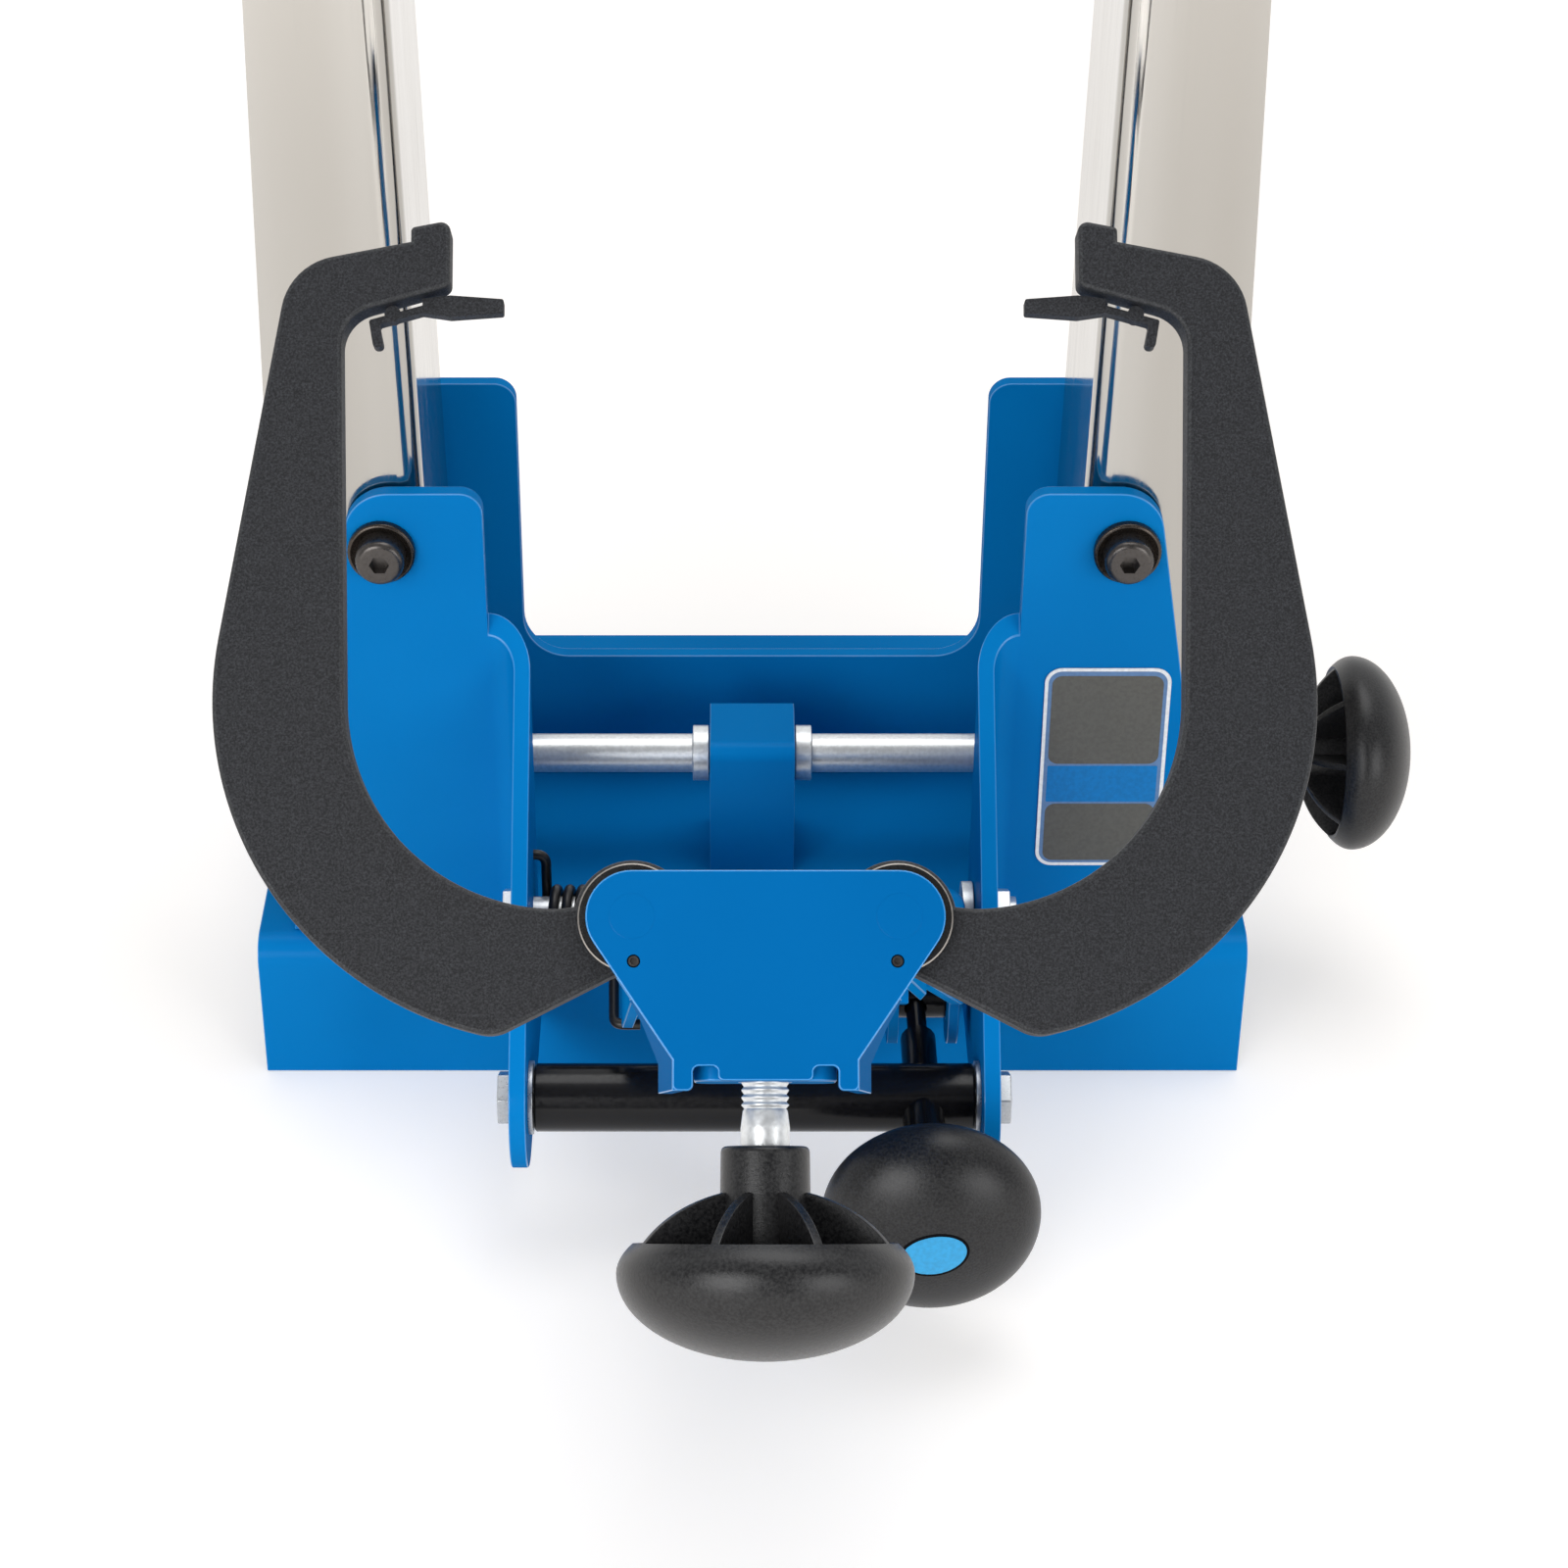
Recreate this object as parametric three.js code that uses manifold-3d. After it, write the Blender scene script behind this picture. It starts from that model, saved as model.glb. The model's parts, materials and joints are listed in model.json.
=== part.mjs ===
// Wheel truing stand: a folded base, two upright channels that spread for the hub,
// and a swinging stalk with a self-centring pair of caliper arms.
// Millimetres, +Z up, +X to the user's right, the user stands at -Y.
// The origin is on the underside of the base, on the plane of symmetry.

import * as THREE from 'three';
import { mergeVertices } from 'three/addons/utils/BufferGeometryUtils.js';
import Module from 'manifold-3d';

const wasm = await Module();
wasm.setup();

const stand = new THREE.Group();
stand.name = 'truing_stand';

// Shared fits
const seatGap = 0.3;
const runningGap = 0.3;
const cutOverrun = 2;
const pointTolerance = 0.0001;
const halfShare = 0.5;
const quarterTurnDegrees = 90;
const hexagonSides = 6;

// Facets of round work
const roundSides = 24;
const smallSides = 16;
const bendSteps = 3;
const cornerSteps = 3;
const archSteps = 7;
const sweepSteps = 14;
const hubSteps = 7;

// Finishes
const bluePaint = new THREE.MeshStandardMaterial({ color: 0x0a6cbc, roughness: 0.35, metalness: 0.1 });
const charcoalPaint = new THREE.MeshStandardMaterial({ color: 0x2b2b2d, roughness: 0.7, metalness: 0.2 });
const platedSteel = new THREE.MeshStandardMaterial({ color: 0xcfcfca, roughness: 0.25, metalness: 1 });
const zincSteel = new THREE.MeshStandardMaterial({ color: 0xc9ccce, roughness: 0.35, metalness: 1 });
const blackSteel = new THREE.MeshStandardMaterial({ color: 0x1a1a1b, roughness: 0.35, metalness: 0.7 });
const blackPlastic = new THREE.MeshStandardMaterial({ color: 0x202022, roughness: 0.55, metalness: 0 });

// Base: one sheet folded into a channel that stands on the cut edges of its two walls
const baseWidth = 300;
const baseDepth = 190;
const baseHeight = 47.7;
const baseSheet = 4.8;
const baseBendInside = 3.2;
const baseFront = -baseSheet * halfShare;
const baseRear = baseFront + baseDepth;

// Shoulder bolts that the uprights swing on
const pivotX = 105.6;
const pivotHeight = 179.6;
const pivotBoltRadius = 4.9;
const pivotHeadRadius = 6.9;
const pivotHeadHeight = 6.2;
const pivotWasherRadius = 9.6;
const pivotWasherThickness = 2.6;
const pivotNutAcross = 15;
const pivotNutHeight = 8;
const pivotBoltTail = 3;

// Brackets that carry the uprights, welded to the base
const bracketSheet = 4.8;
const bracketSetback = 8;
const frontBracketAbovePivot = 18;
const rearBracketAbovePivot = 8.4;
const bracketTop = pivotHeight + frontBracketAbovePivot;
const rearBracketTop = pivotHeight + rearBracketAbovePivot;
const bracketFootHalfWidth = 139.1;
const bracketTopHalfWidth = 113.9;
const bracketCornerRadius = 13;
const bracketBendInside = 7.6;
const bracketFront = baseFront + bracketSetback;
const bracketFoot = baseHeight + seatGap;
const rearWindowHalfWidth = 72;
const rearWindowSill = 92;
const rearWindowRadius = 14;

// Ears that reach forward from the front brackets and carry both cross shafts
const earOuter = 69;
const earInner = earOuter - bracketSheet;
const earSlopeStart = 151.7;
const earEndRadius = 20;
const earNoseFillet = 6;
const crossShaftForward = 70.5;
const crossShaftHeight = 45;
const crossShaftY = baseFront - crossShaftForward;
const stalkPivotForward = 22;
const stalkPivotHeight = 75;
const stalkPivotY = baseFront - stalkPivotForward;

// Uprights: plated channels that open outward, web towards the hub
const uprightSheet = 3.6;
const uprightBendInside = 3.4;
const uprightDepth = 81;
const uprightFoot = 60;
const uprightTop = 500;
const uprightInnerAtPivot = 93.6;
const uprightLeanDegrees = 0.93;
const uprightFlangeWidthAtPivot = 44.2;
const uprightFlangeWidthAtWaist = 35.2;
const uprightFlangeWidthAtTop = 13;
const uprightWaistDrop = 102;
const uprightFlangeEndDrop = 48;
const uprightWaist = uprightTop - uprightWaistDrop;
const uprightFlangeEnd = uprightTop - uprightFlangeEndDrop;
const uprightNeckDepth = 46;
const uprightNeckStartDrop = 115;
const uprightNeckEndDrop = 38;
const uprightNeckStart = uprightTop - uprightNeckStartDrop;
const uprightNeckEnd = uprightTop - uprightNeckEndDrop;
const uprightCrownRadius = 15;
const axleDrop = 22;
const axleHeight = uprightTop - axleDrop;
const axleSlotRadius = 5.1;
const axleSlotMouth = 9;
const axleSlotMouthDepth = 7;
const flangeGap = 1.2;
const uprightFront = bracketFront + bracketSheet + flangeGap;
const uprightRear = uprightFront + uprightDepth;
const axleY = (uprightFront + uprightRear) * halfShare;
const rearBracketFront = uprightRear + flangeGap;
const rearBracketRear = rearBracketFront + bracketSheet;

// Spreading spindle across the uprights' feet, with barrel nuts and a centre bearing
const spindleHeight = 82;
const spindleRadius = 6;
const spindleLeftEnd = 157;
const barrelNutX = 107;
const webHoleRadius = 8.6;
const barrelNutRadius = 9;
const barrelTrunnionRadius = 5.5;
const barrelTravelAllowance = 3.2;
const barrelSideAllowance = 0.45;
const bearingWidth = 26;
const bearingDepth = 30;
const bearingTop = 93;
const bearingFillet = 5;
const collarRadius = 8.6;
const collarWidth = 5;
const sideKnobRingX = 185.5;

// Knobs: domed cap, ribbed underside and neck, measured along the axis from the cap's widest ring
const knobRadius = 30;
const knobDome = 17.5;
const knobRimRise = 6;
const knobRimRadius = 26.7;
const knobRimLip = 1.9;
const knobPocketFloor = 1.5;
const knobShoulder = 16.8;
const knobNeckRadius = 9.35;
const knobNeckEnd = 25.4;
const knobNeckChamfer = 1;
const knobRibThickness = 2;
const knobRibBulgeShare = 1.12;
const knobRibCount = 8;
const knobSideSteps = 32;
const knobDomeSteps = 6;
const knobBoreDepth = 14;

// Cross shaft between the ears, with the height screw through it
const crossShaftRadius = 9.75;
const crossEndWasherRadius = 10.6;
const crossEndWasherThickness = 1.4;
const crossBoltRadius = 4;
const crossBoltDepth = 6.8;
const hexAcross = 14;
const hexHeight = 4;

// Stalk: tapered channel from its pivot lugs to the caliper head
const stalkSheet = 3.2;
const stalkLugRadius = 9.5;
const stalkTiltDegrees = 57.2;
const stalkLength = 312;
const stalkLoftStart = -50;
const stalkLoftDepth = 30;
const stalkNotch = 1;
const stalkBendInside = 3;
const stalkBend = stalkSheet + stalkBendInside + seatGap;
const stalkLeft = 38;
const stalkRight = 60.3;
const stalkHeadHalfWidth = 24;
const stalkTaperStart = 24;
const stalkWebStart = 9;
const stalkWebRise = 8.4;
const stalkWebRiseAtHead = 17;
const stalkEdgeRiseAtHead = 4.3;
const stalkRightEdge = [40, -24];
const stalkLeftEdge = [35, -31];
const stalkThroatRadius = 9;
const stalkTubeRadius = 7;
const clevisEnd = 52;
const leverLength = stalkPivotHeight - crossShaftHeight;
const leverEndRadius = 14;
const leverThroatDrop = 21;
const clevisInner = 42.6;
const clevisPlate = 3;
const pivotShaftRadius = 5;
const pivotEndNutAcross = 14;
const pivotEndWasherRadius = 9.5;
const pivotEndWasherThickness = 1.6;
const pivotShaftTail = 2;

// Height adjuster: screw, barrel in the clevis, knob
const heightScrewX = 48;
const heightScrewThreadRadius = 6;
const heightScrewThreadEnd = 6.5;
const heightScrewRadius = 5.15;
const heightScrewNeckLength = 21;
const heightScrewJournalRadius = 2.9;
const heightScrewClip = 1.6;
const heightScrewClipRadius = 5;
const heightBarrelRadius = 6.4;
const heightBarrelTrunnionRadius = 4.4;
const heightBarrelAllowance = 2.2;
const heightKnobForward = 122;

// Caliper head, in its own axes: x across, y up the arms, z out of the front plate
const headTiltDegrees = 40;
const headTurnDegrees = quarterTurnDegrees - headTiltDegrees;
const headBeyondStalk = 8.05;
const headBelowStalk = 59.21;
const stalkSlope = THREE.MathUtils.degToRad(stalkTiltDegrees);
const headReach = stalkLength + headBeyondStalk;
const headY = stalkPivotY - headReach * Math.sin(stalkSlope) - headBelowStalk * Math.cos(stalkSlope);
const headZ = stalkPivotHeight + headReach * Math.cos(stalkSlope) - headBelowStalk * Math.sin(stalkSlope);
const caliperPivotX = 26.8;
const caliperPivotRise = 71;
const caliperPinRadius = 4.6;
const armThickness = 8;
const armSoftEdge = 0.8;
const armCornerRadius = 2;
const armHubRadius = 12;
const armArcX = 42.1;
const armArcRise = 116.7;
const armOuterRadius = 70.6;
const armInnerRadius = 43.6;
const armOuterLeanDegrees = 9.9;
const armShoulderX = 98.3;
const armShoulderRise = 206.9;
const armShoulderRadius = 13;
const armInnerCornerX = 87.4;
const armInnerCornerRise = 196;
const armInnerCornerRadius = 8;
const armEndX = 65;
const armEndTop = 213.4;
const armStepX = 73.2;
const armStepRise = 3;
const armEndBottom = 202.3;
const armHeelX = 54.8;
const armHeelRise = 47.2;
const armHeelRadius = 8;
const armHeelArcEndDegrees = -76.5;
const armHubBelowDegrees = [-72, -168];
const armHubAboveDegrees = [168, 12];
const armLugTipX = 10;
const armLugTipRadius = 4;
const armLugHalfWidth = 2.9;

// Feeler tips under the arm ends
const tipInnerX = 54;
const tipBarStartX = 70.8;
const tipOuterX = 81.9;
const tipSag = 1.2;
const tipNoseHeight = 4.6;
const tipBarHeight = 1.6;
const tipHookDrop = 4.2;
const tipHookWidth = 2.2;
const tipHookLean = 1;
const tipHumpX = 77;
const tipHumpRadius = 1.7;
const tipSoftEdge = 0.5;
const tipThickness = 3.5;

// Housing plates of the caliper head
const housingSheet = 3;
const housingHalfDepth = 11;
const housingTop = 80.3;
const housingShoulderRadius = 9.3;
const housingFootHalfWidth = 18.6;
const housingFootRise = 42.3;
const housingTabInner = 14.5;
const housingTabEnd = 36.2;
const housingTabCorner = 1.2;
const housingCentreTabHalfWidth = 9.5;
const housingCentreTabEnd = 38.2;
const housingFlangeTopRise = 50;
const housingFlangeFlareShare = 0.17;
const screwPlateThickness = 4.6;
const screwPlateHalfWidth = 14.4;
const screwPlateCorner = 4.5;
const washerRadius = 11;

// Caliper screw and the grooved spool that swings both arms
const caliperScrewRadius = 4.8;
const caliperScrewShank = 5.1;
const caliperThreadStart = 32.6;
const spoolFlangeRadius = 13;
const spoolFlange = 3;
const spoolGroove = 8.6;
const spoolCoreRadius = 5.2;
const spoolBoreRadius = 3.1;
const caliperScrewTipRadius = 2.8;

// Torsion spring round the stalk pivot
const springWire = 3;
const springMeanRadius = 7.1;
const springCurls = 5.25;
const springStartX = -60.6;
const springEndGap = 1.4125;
const springEndX = -stalkLeft - springEndGap - springWire * halfShare;
const springPitch = (springEndX - springStartX) / springCurls;
const springStepsPerCurl = 8;
const springSides = 5;
const springLegForward = 41.6;
const springLegDrop = 2.1;
const springEarRise = 16;
const springBend = 3.2;
const springBendSteps = 3;
const springHookReach = 7.4;
const springLeastGap = 0.4;

// Solid helpers

function weldedSolid(geometry) {
  const bare = geometry.clone();
  for (const name of Object.keys(bare.attributes)) {
    if (name !== 'position') bare.deleteAttribute(name);
  }
  const merged = mergeVertices(bare);
  const index = merged.index.array;
  const kept = [];
  for (let i = 0; i < index.length; i += 3) {
    const [a, b, c] = [index[i], index[i + 1], index[i + 2]];
    if (a !== b && b !== c && c !== a) kept.push(a, b, c);
  }
  return new wasm.Manifold(new wasm.Mesh({
    numProp: 3,
    vertProperties: new Float32Array(merged.attributes.position.array),
    triVerts: new Uint32Array(kept),
  }));
}

function geometryOf(solid) {
  const mesh = solid.getMesh();
  const geometry = new THREE.BufferGeometry();
  geometry.setAttribute('position', new THREE.BufferAttribute(new Float32Array(mesh.vertProperties), 3));
  geometry.setIndex(new THREE.BufferAttribute(new Uint32Array(mesh.triVerts), 1));
  geometry.computeVertexNormals();
  return geometry;
}

function joined(...geometries) {
  return geometryOf(geometries.map(weldedSolid).reduce((sum, solid) => sum.add(solid)));
}

function cut(body, ...tools) {
  return geometryOf(tools.map(weldedSolid).reduce((rest, tool) => rest.subtract(tool), weldedSolid(body)));
}

function common(a, b) {
  return geometryOf(weldedSolid(a).intersect(weldedSolid(b)));
}

function mirroredX(geometry) {
  const copy = geometry.index ? geometry.clone() : mergeVertices(geometry);
  copy.scale(-1, 1, 1);
  const index = copy.index.array;
  for (let i = 0; i < index.length; i += 3) [index[i], index[i + 1]] = [index[i + 1], index[i]];
  copy.computeVertexNormals();
  return copy;
}

function place(parent, name, geometry, material) {
  const mesh = new THREE.Mesh(geometry, material);
  mesh.name = name;
  parent.add(mesh);
  return mesh;
}

// A closed outline from corners [x, y, radius], each rounded by its radius
function roundedShape(corners) {
  const shape = new THREE.Shape();
  const count = corners.length;
  corners.forEach(([x, y, radius], i) => {
    const before = corners[(i + count - 1) % count];
    const after = corners[(i + 1) % count];
    const here = new THREE.Vector2(x, y);
    const back = new THREE.Vector2(before[0], before[1]).sub(here).normalize();
    const ahead = new THREE.Vector2(after[0], after[1]).sub(here).normalize();
    const half = Math.acos(THREE.MathUtils.clamp(back.dot(ahead), -1, 1)) * halfShare;
    const start = i === 0 ? 'moveTo' : 'lineTo';
    if (!radius) {
      shape[start](x, y);
      return;
    }
    const reach = radius / Math.tan(half);
    const first = here.clone().addScaledVector(back, reach);
    const last = here.clone().addScaledVector(ahead, reach);
    const middle = back.clone().add(ahead).normalize();
    const centre = here.clone().addScaledVector(middle, radius / Math.sin(half));
    const turn = back.x * ahead.y - back.y * ahead.x;
    shape[start](first.x, first.y);
    shape.absarc(
      centre.x, centre.y, radius,
      Math.atan2(first.y - centre.y, first.x - centre.x),
      Math.atan2(last.y - centre.y, last.x - centre.x),
      turn > 0,
    );
  });
  shape.closePath();
  return shape;
}

// The section of a folded sheet from the corners of its outer face, thickened to the left
function foldedShape(outer, sheet, insideRadius) {
  const normals = outer.slice(1).map(([x, y], i) => {
    const along = new THREE.Vector2(x - outer[i][0], y - outer[i][1]).normalize();
    return new THREE.Vector2(-along.y, along.x);
  });
  const turnAt = (i) => normals[i - 1].x * normals[i].y - normals[i - 1].y * normals[i].x;
  const inner = outer.map(([x, y], i) => {
    const before = normals[Math.max(i - 1, 0)];
    const after = normals[Math.min(i, normals.length - 1)];
    const middle = before.clone().add(after).normalize();
    const reach = sheet / middle.dot(before);
    return [x + middle.x * reach, y + middle.y * reach];
  });
  const isEnd = (i) => i === 0 || i === outer.length - 1;
  const radii = (leftSide) => outer.map((p, i) => {
    if (isEnd(i)) return 0;
    return (turnAt(i) > 0) === leftSide ? insideRadius : insideRadius + sheet;
  });
  const outerRadii = radii(false);
  const innerRadii = radii(true);
  const loop = outer.map(([x, y], i) => [x, y, outerRadii[i]]);
  const back = inner.map(([x, y], i) => [x, y, innerRadii[i]]).reverse();
  return roundedShape([...loop, ...back]);
}

function extruded(shape, length, steps) {
  return new THREE.ExtrudeGeometry(shape, { depth: length, bevelEnabled: false, curveSegments: steps });
}

// Outline in (y, z), extruded along x
function slabAlongX(shape, from, to, steps = cornerSteps) {
  const geometry = extruded(shape, to - from, steps);
  const basis = new THREE.Matrix4().makeBasis(
    new THREE.Vector3(0, 1, 0), new THREE.Vector3(0, 0, 1), new THREE.Vector3(1, 0, 0),
  );
  return geometry.applyMatrix4(basis).translate(from, 0, 0);
}

// Outline in (x, z), extruded along y
function slabAlongY(shape, from, to, steps = cornerSteps) {
  const geometry = extruded(shape, to - from, steps);
  const basis = new THREE.Matrix4().makeBasis(
    new THREE.Vector3(1, 0, 0), new THREE.Vector3(0, 0, 1), new THREE.Vector3(0, -1, 0),
  );
  return geometry.applyMatrix4(basis).translate(0, to, 0);
}

// Outline in (x, y), extruded along z
function slabAlongZ(shape, from, to, steps = cornerSteps) {
  return extruded(shape, to - from, steps).translate(0, 0, from);
}

// A block from its lowest to its highest corner
function block(low, high) {
  const size = high.map((value, i) => value - low[i]);
  const centre = high.map((value, i) => (value + low[i]) * halfShare);
  return new THREE.BoxGeometry(...size).translate(...centre);
}

// A turned piece from its profile [radius, place along the axis], axis x, y or z through a point
function turned(axis, point, profile, sides = roundSides) {
  const geometry = new THREE.LatheGeometry(profile.map(([r, t]) => new THREE.Vector2(r, t)), sides);
  if (axis === 'x') geometry.rotateZ(-Math.PI * halfShare);
  if (axis === 'z') geometry.rotateX(Math.PI * halfShare);
  return geometry.translate(...point);
}

function rodAlong(axis, point, radius, from, to, sides = roundSides) {
  return turned(axis, point, [[0, from], [radius, from], [radius, to], [0, to]], sides);
}

function tubeAlong(axis, point, radius, bore, from, to, sides = roundSides) {
  return turned(axis, point, [[bore, from], [radius, from], [radius, to], [bore, to], [bore, from]], sides);
}

function hexAlong(axis, point, across, from, to) {
  const corner = across * halfShare / Math.cos(Math.PI / hexagonSides);
  return rodAlong(axis, point, corner, from, to, hexagonSides);
}

// Points of an arc as zero-radius corners
function arcCorners(x, y, radius, fromDegrees, toDegrees, steps) {
  return Array.from({ length: steps + 1 }, (_, i) => {
    const angle = THREE.MathUtils.degToRad(fromDegrees + (toDegrees - fromDegrees) * i / steps);
    return [x + radius * Math.cos(angle), y + radius * Math.sin(angle), 0];
  });
}

// Base

function makeBase() {
  const section = foldedShape([
    [baseRear, 0],
    [baseRear, baseHeight],
    [baseFront, baseHeight],
    [baseFront, 0],
  ], baseSheet, baseBendInside);
  const half = baseWidth * halfShare;
  return slabAlongX(section, -half, half, bendSteps);
}

// Front brackets with their ears

const bracketRear = bracketFront + bracketSheet;
const earBendX = earOuter + bracketBendInside;
const earFoot = crossShaftHeight - earEndRadius;
const bracketOuterEdge = [
  [bracketFootHalfWidth, bracketFoot, 0],
  [bracketTopHalfWidth, bracketTop, bracketCornerRadius],
];

function makeFrontBracket() {
  const noseY = bracketFront - (earSlopeStart - earFoot);
  const section = foldedShape([
    [bracketFootHalfWidth + cutOverrun, bracketRear],
    [earInner, bracketRear],
    [earInner, noseY],
  ], bracketSheet, bracketBendInside);
  const folded = slabAlongZ(section, earFoot, bracketTop, bendSteps);
  const plate = slabAlongY(roundedShape([
    [earBendX, bracketFoot, 0],
    ...bracketOuterEdge,
    [earBendX, bracketTop, bracketCornerRadius * halfShare],
  ]), bracketFront - cutOverrun, bracketRear + cutOverrun);
  const ear = slabAlongX(roundedShape([
    [bracketRear + cutOverrun, bracketFoot, 0],
    [baseFront - seatGap, bracketFoot, 0],
    [baseFront - seatGap, earFoot, 0],
    [noseY, earFoot, earEndRadius],
    [bracketRear + cutOverrun, earSlopeStart + bracketSheet + cutOverrun, 0],
  ]), earInner - cutOverrun, earBendX, archSteps);
  const bolt = rodAlong('y', [pivotX, 0, pivotHeight], pivotBoltRadius + seatGap,
    bracketFront - cutOverrun, bracketRear + cutOverrun);
  const shaft = rodAlong('x', [0, stalkPivotY, stalkPivotHeight], pivotShaftRadius + seatGap,
    earInner - cutOverrun, earOuter + cutOverrun);
  const crossBolt = rodAlong('x', [0, crossShaftY, crossShaftHeight], crossBoltRadius + seatGap,
    earInner - cutOverrun, earOuter + cutOverrun);
  const springHole = rodAlong('x', [0, stalkPivotY + springMeanRadius, stalkPivotHeight + springEarRise],
    springWire * halfShare + seatGap, earInner - cutOverrun, earOuter + cutOverrun, smallSides);
  return cut(common(folded, joined(plate, ear)), bolt, shaft, crossBolt, springHole);
}

function makeRearBracket() {
  const wing = [
    [bracketFootHalfWidth, bracketFoot, 0],
    [bracketTopHalfWidth, rearBracketTop, bracketCornerRadius],
    [rearWindowHalfWidth, rearBracketTop, bracketCornerRadius * halfShare],
  ];
  const sill = [rearWindowHalfWidth, rearWindowSill, rearWindowRadius];
  const half = [...wing, sill];
  const other = half.map(([x, z, radius]) => [-x, z, radius]).reverse();
  const plate = slabAlongY(roundedShape([...half, ...other]), rearBracketFront, rearBracketRear);
  const bolts = [-1, 1].map((side) => rodAlong('y', [side * pivotX, 0, pivotHeight],
    pivotBoltRadius + seatGap, rearBracketFront - cutOverrun, rearBracketRear + cutOverrun));
  return cut(plate, ...bolts);
}

// Pivot hardware, drawn on the right side

function makePivotBolt() {
  const tail = rearBracketRear + pivotNutHeight + pivotBoltTail;
  const seat = bracketFront - pivotWasherThickness;
  return turned('y', [pivotX, 0, pivotHeight], [
    [0, seat - pivotHeadHeight],
    [pivotHeadRadius, seat - pivotHeadHeight],
    [pivotHeadRadius, seat],
    [pivotBoltRadius, seat],
    [pivotBoltRadius, tail],
    [0, tail],
  ]);
}

function makePivotWasher() {
  return tubeAlong('y', [pivotX, 0, pivotHeight], pivotWasherRadius,
    pivotBoltRadius + seatGap, bracketFront - pivotWasherThickness, bracketFront);
}

function makePivotNut() {
  return cut(
    hexAlong('y', [pivotX, 0, pivotHeight], pivotNutAcross, rearBracketRear,
      rearBracketRear + pivotNutHeight),
    rodAlong('y', [pivotX, 0, pivotHeight], pivotBoltRadius + seatGap, rearBracketRear - cutOverrun,
      rearBracketRear + pivotNutHeight + cutOverrun),
  );
}

// Uprights, drawn plumb on the right side and then leaned about the pivot

const flangeEdgeX = (height) => {
  const share = (height - pivotHeight) / (uprightWaist - pivotHeight);
  const width = uprightFlangeWidthAtPivot + (uprightFlangeWidthAtWaist - uprightFlangeWidthAtPivot) * share;
  return uprightInnerAtPivot + width;
};

function makeUpright() {
  const inner = uprightInnerAtPivot;
  const wide = flangeEdgeX(uprightFoot);
  const section = foldedShape([
    [wide, uprightRear],
    [inner, uprightRear],
    [inner, uprightFront],
    [wide, uprightFront],
  ], uprightSheet, uprightBendInside);
  const channel = slabAlongZ(section, uprightFoot, uprightTop, bendSteps);
  const frontView = slabAlongY(roundedShape([
    [inner - cutOverrun, uprightFoot - cutOverrun, 0],
    [wide, uprightFoot - cutOverrun, 0],
    [flangeEdgeX(uprightWaist), uprightWaist, uprightCrownRadius],
    [inner + uprightFlangeWidthAtTop, uprightFlangeEnd, uprightCrownRadius],
    [inner + uprightFlangeWidthAtTop, uprightTop + cutOverrun, 0],
    [inner - cutOverrun, uprightTop + cutOverrun, 0],
  ]), uprightFront - cutOverrun, uprightRear + cutOverrun, bendSteps);
  const neckFront = axleY - uprightNeckDepth * halfShare;
  const neckRear = axleY + uprightNeckDepth * halfShare;
  const sideView = slabAlongX(roundedShape([
    [uprightFront - cutOverrun, uprightFoot - cutOverrun, 0],
    [uprightRear + cutOverrun, uprightFoot - cutOverrun, 0],
    [uprightRear + cutOverrun, uprightNeckStart, 0],
    [neckRear, uprightNeckEnd, uprightCrownRadius],
    [neckRear, uprightTop, uprightCrownRadius],
    [neckFront, uprightTop, uprightCrownRadius],
    [neckFront, uprightNeckEnd, uprightCrownRadius],
    [uprightFront - cutOverrun, uprightNeckStart, 0],
  ]), inner - cutOverrun, wide + cutOverrun);
  const shaped = common(common(channel, frontView), sideView);
  const mouthHeight = uprightTop - axleSlotMouthDepth;
  const slot = slabAlongX(roundedShape([
    [axleY - axleSlotRadius, axleHeight - axleSlotRadius, axleSlotRadius],
    [axleY + axleSlotRadius, axleHeight - axleSlotRadius, axleSlotRadius],
    [axleY + axleSlotRadius, mouthHeight, 0],
    [axleY + axleSlotMouth, uprightTop + cutOverrun, 0],
    [axleY - axleSlotMouth, uprightTop + cutOverrun, 0],
    [axleY - axleSlotRadius, mouthHeight, 0],
  ]), inner - cutOverrun, inner + uprightFlangeWidthAtTop + cutOverrun, archSteps);
  const slotted = cut(shaped, slot);
  const leaned = slotted.translate(-pivotX, 0, -pivotHeight)
    .rotateY(THREE.MathUtils.degToRad(uprightLeanDegrees))
    .translate(pivotX, 0, pivotHeight);
  const bolt = rodAlong('y', [pivotX, 0, pivotHeight], pivotBoltRadius + runningGap,
    uprightFront - cutOverrun, uprightRear + cutOverrun);
  const spindleHole = rodAlong('x', [0, axleY, spindleHeight], webHoleRadius,
    inner - bearingWidth, pivotX);
  return cut(leaned, bolt, spindleHole, barrelSlot());
}

// The flange slot for a barrel nut, long in the direction away from the pivot
function barrelSlot() {
  const drop = pivotHeight - spindleHeight;
  const offset = barrelNutX - pivotX;
  const radius = barrelTrunnionRadius + barrelSideAllowance;
  const reach = Math.hypot(drop, offset);
  const slot = slabAlongY(roundedShape([
    [-radius, -reach - barrelTravelAllowance - radius, radius],
    [radius, -reach - barrelTravelAllowance - radius, radius],
    [radius, -reach + radius, radius],
    [-radius, -reach + radius, radius],
  ]), uprightFront - cutOverrun, uprightRear + cutOverrun);
  return slot.rotateY(-Math.atan2(offset, drop)).translate(pivotX, 0, pivotHeight);
}

// Spindle, its barrel nuts and its centre bearing

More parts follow.
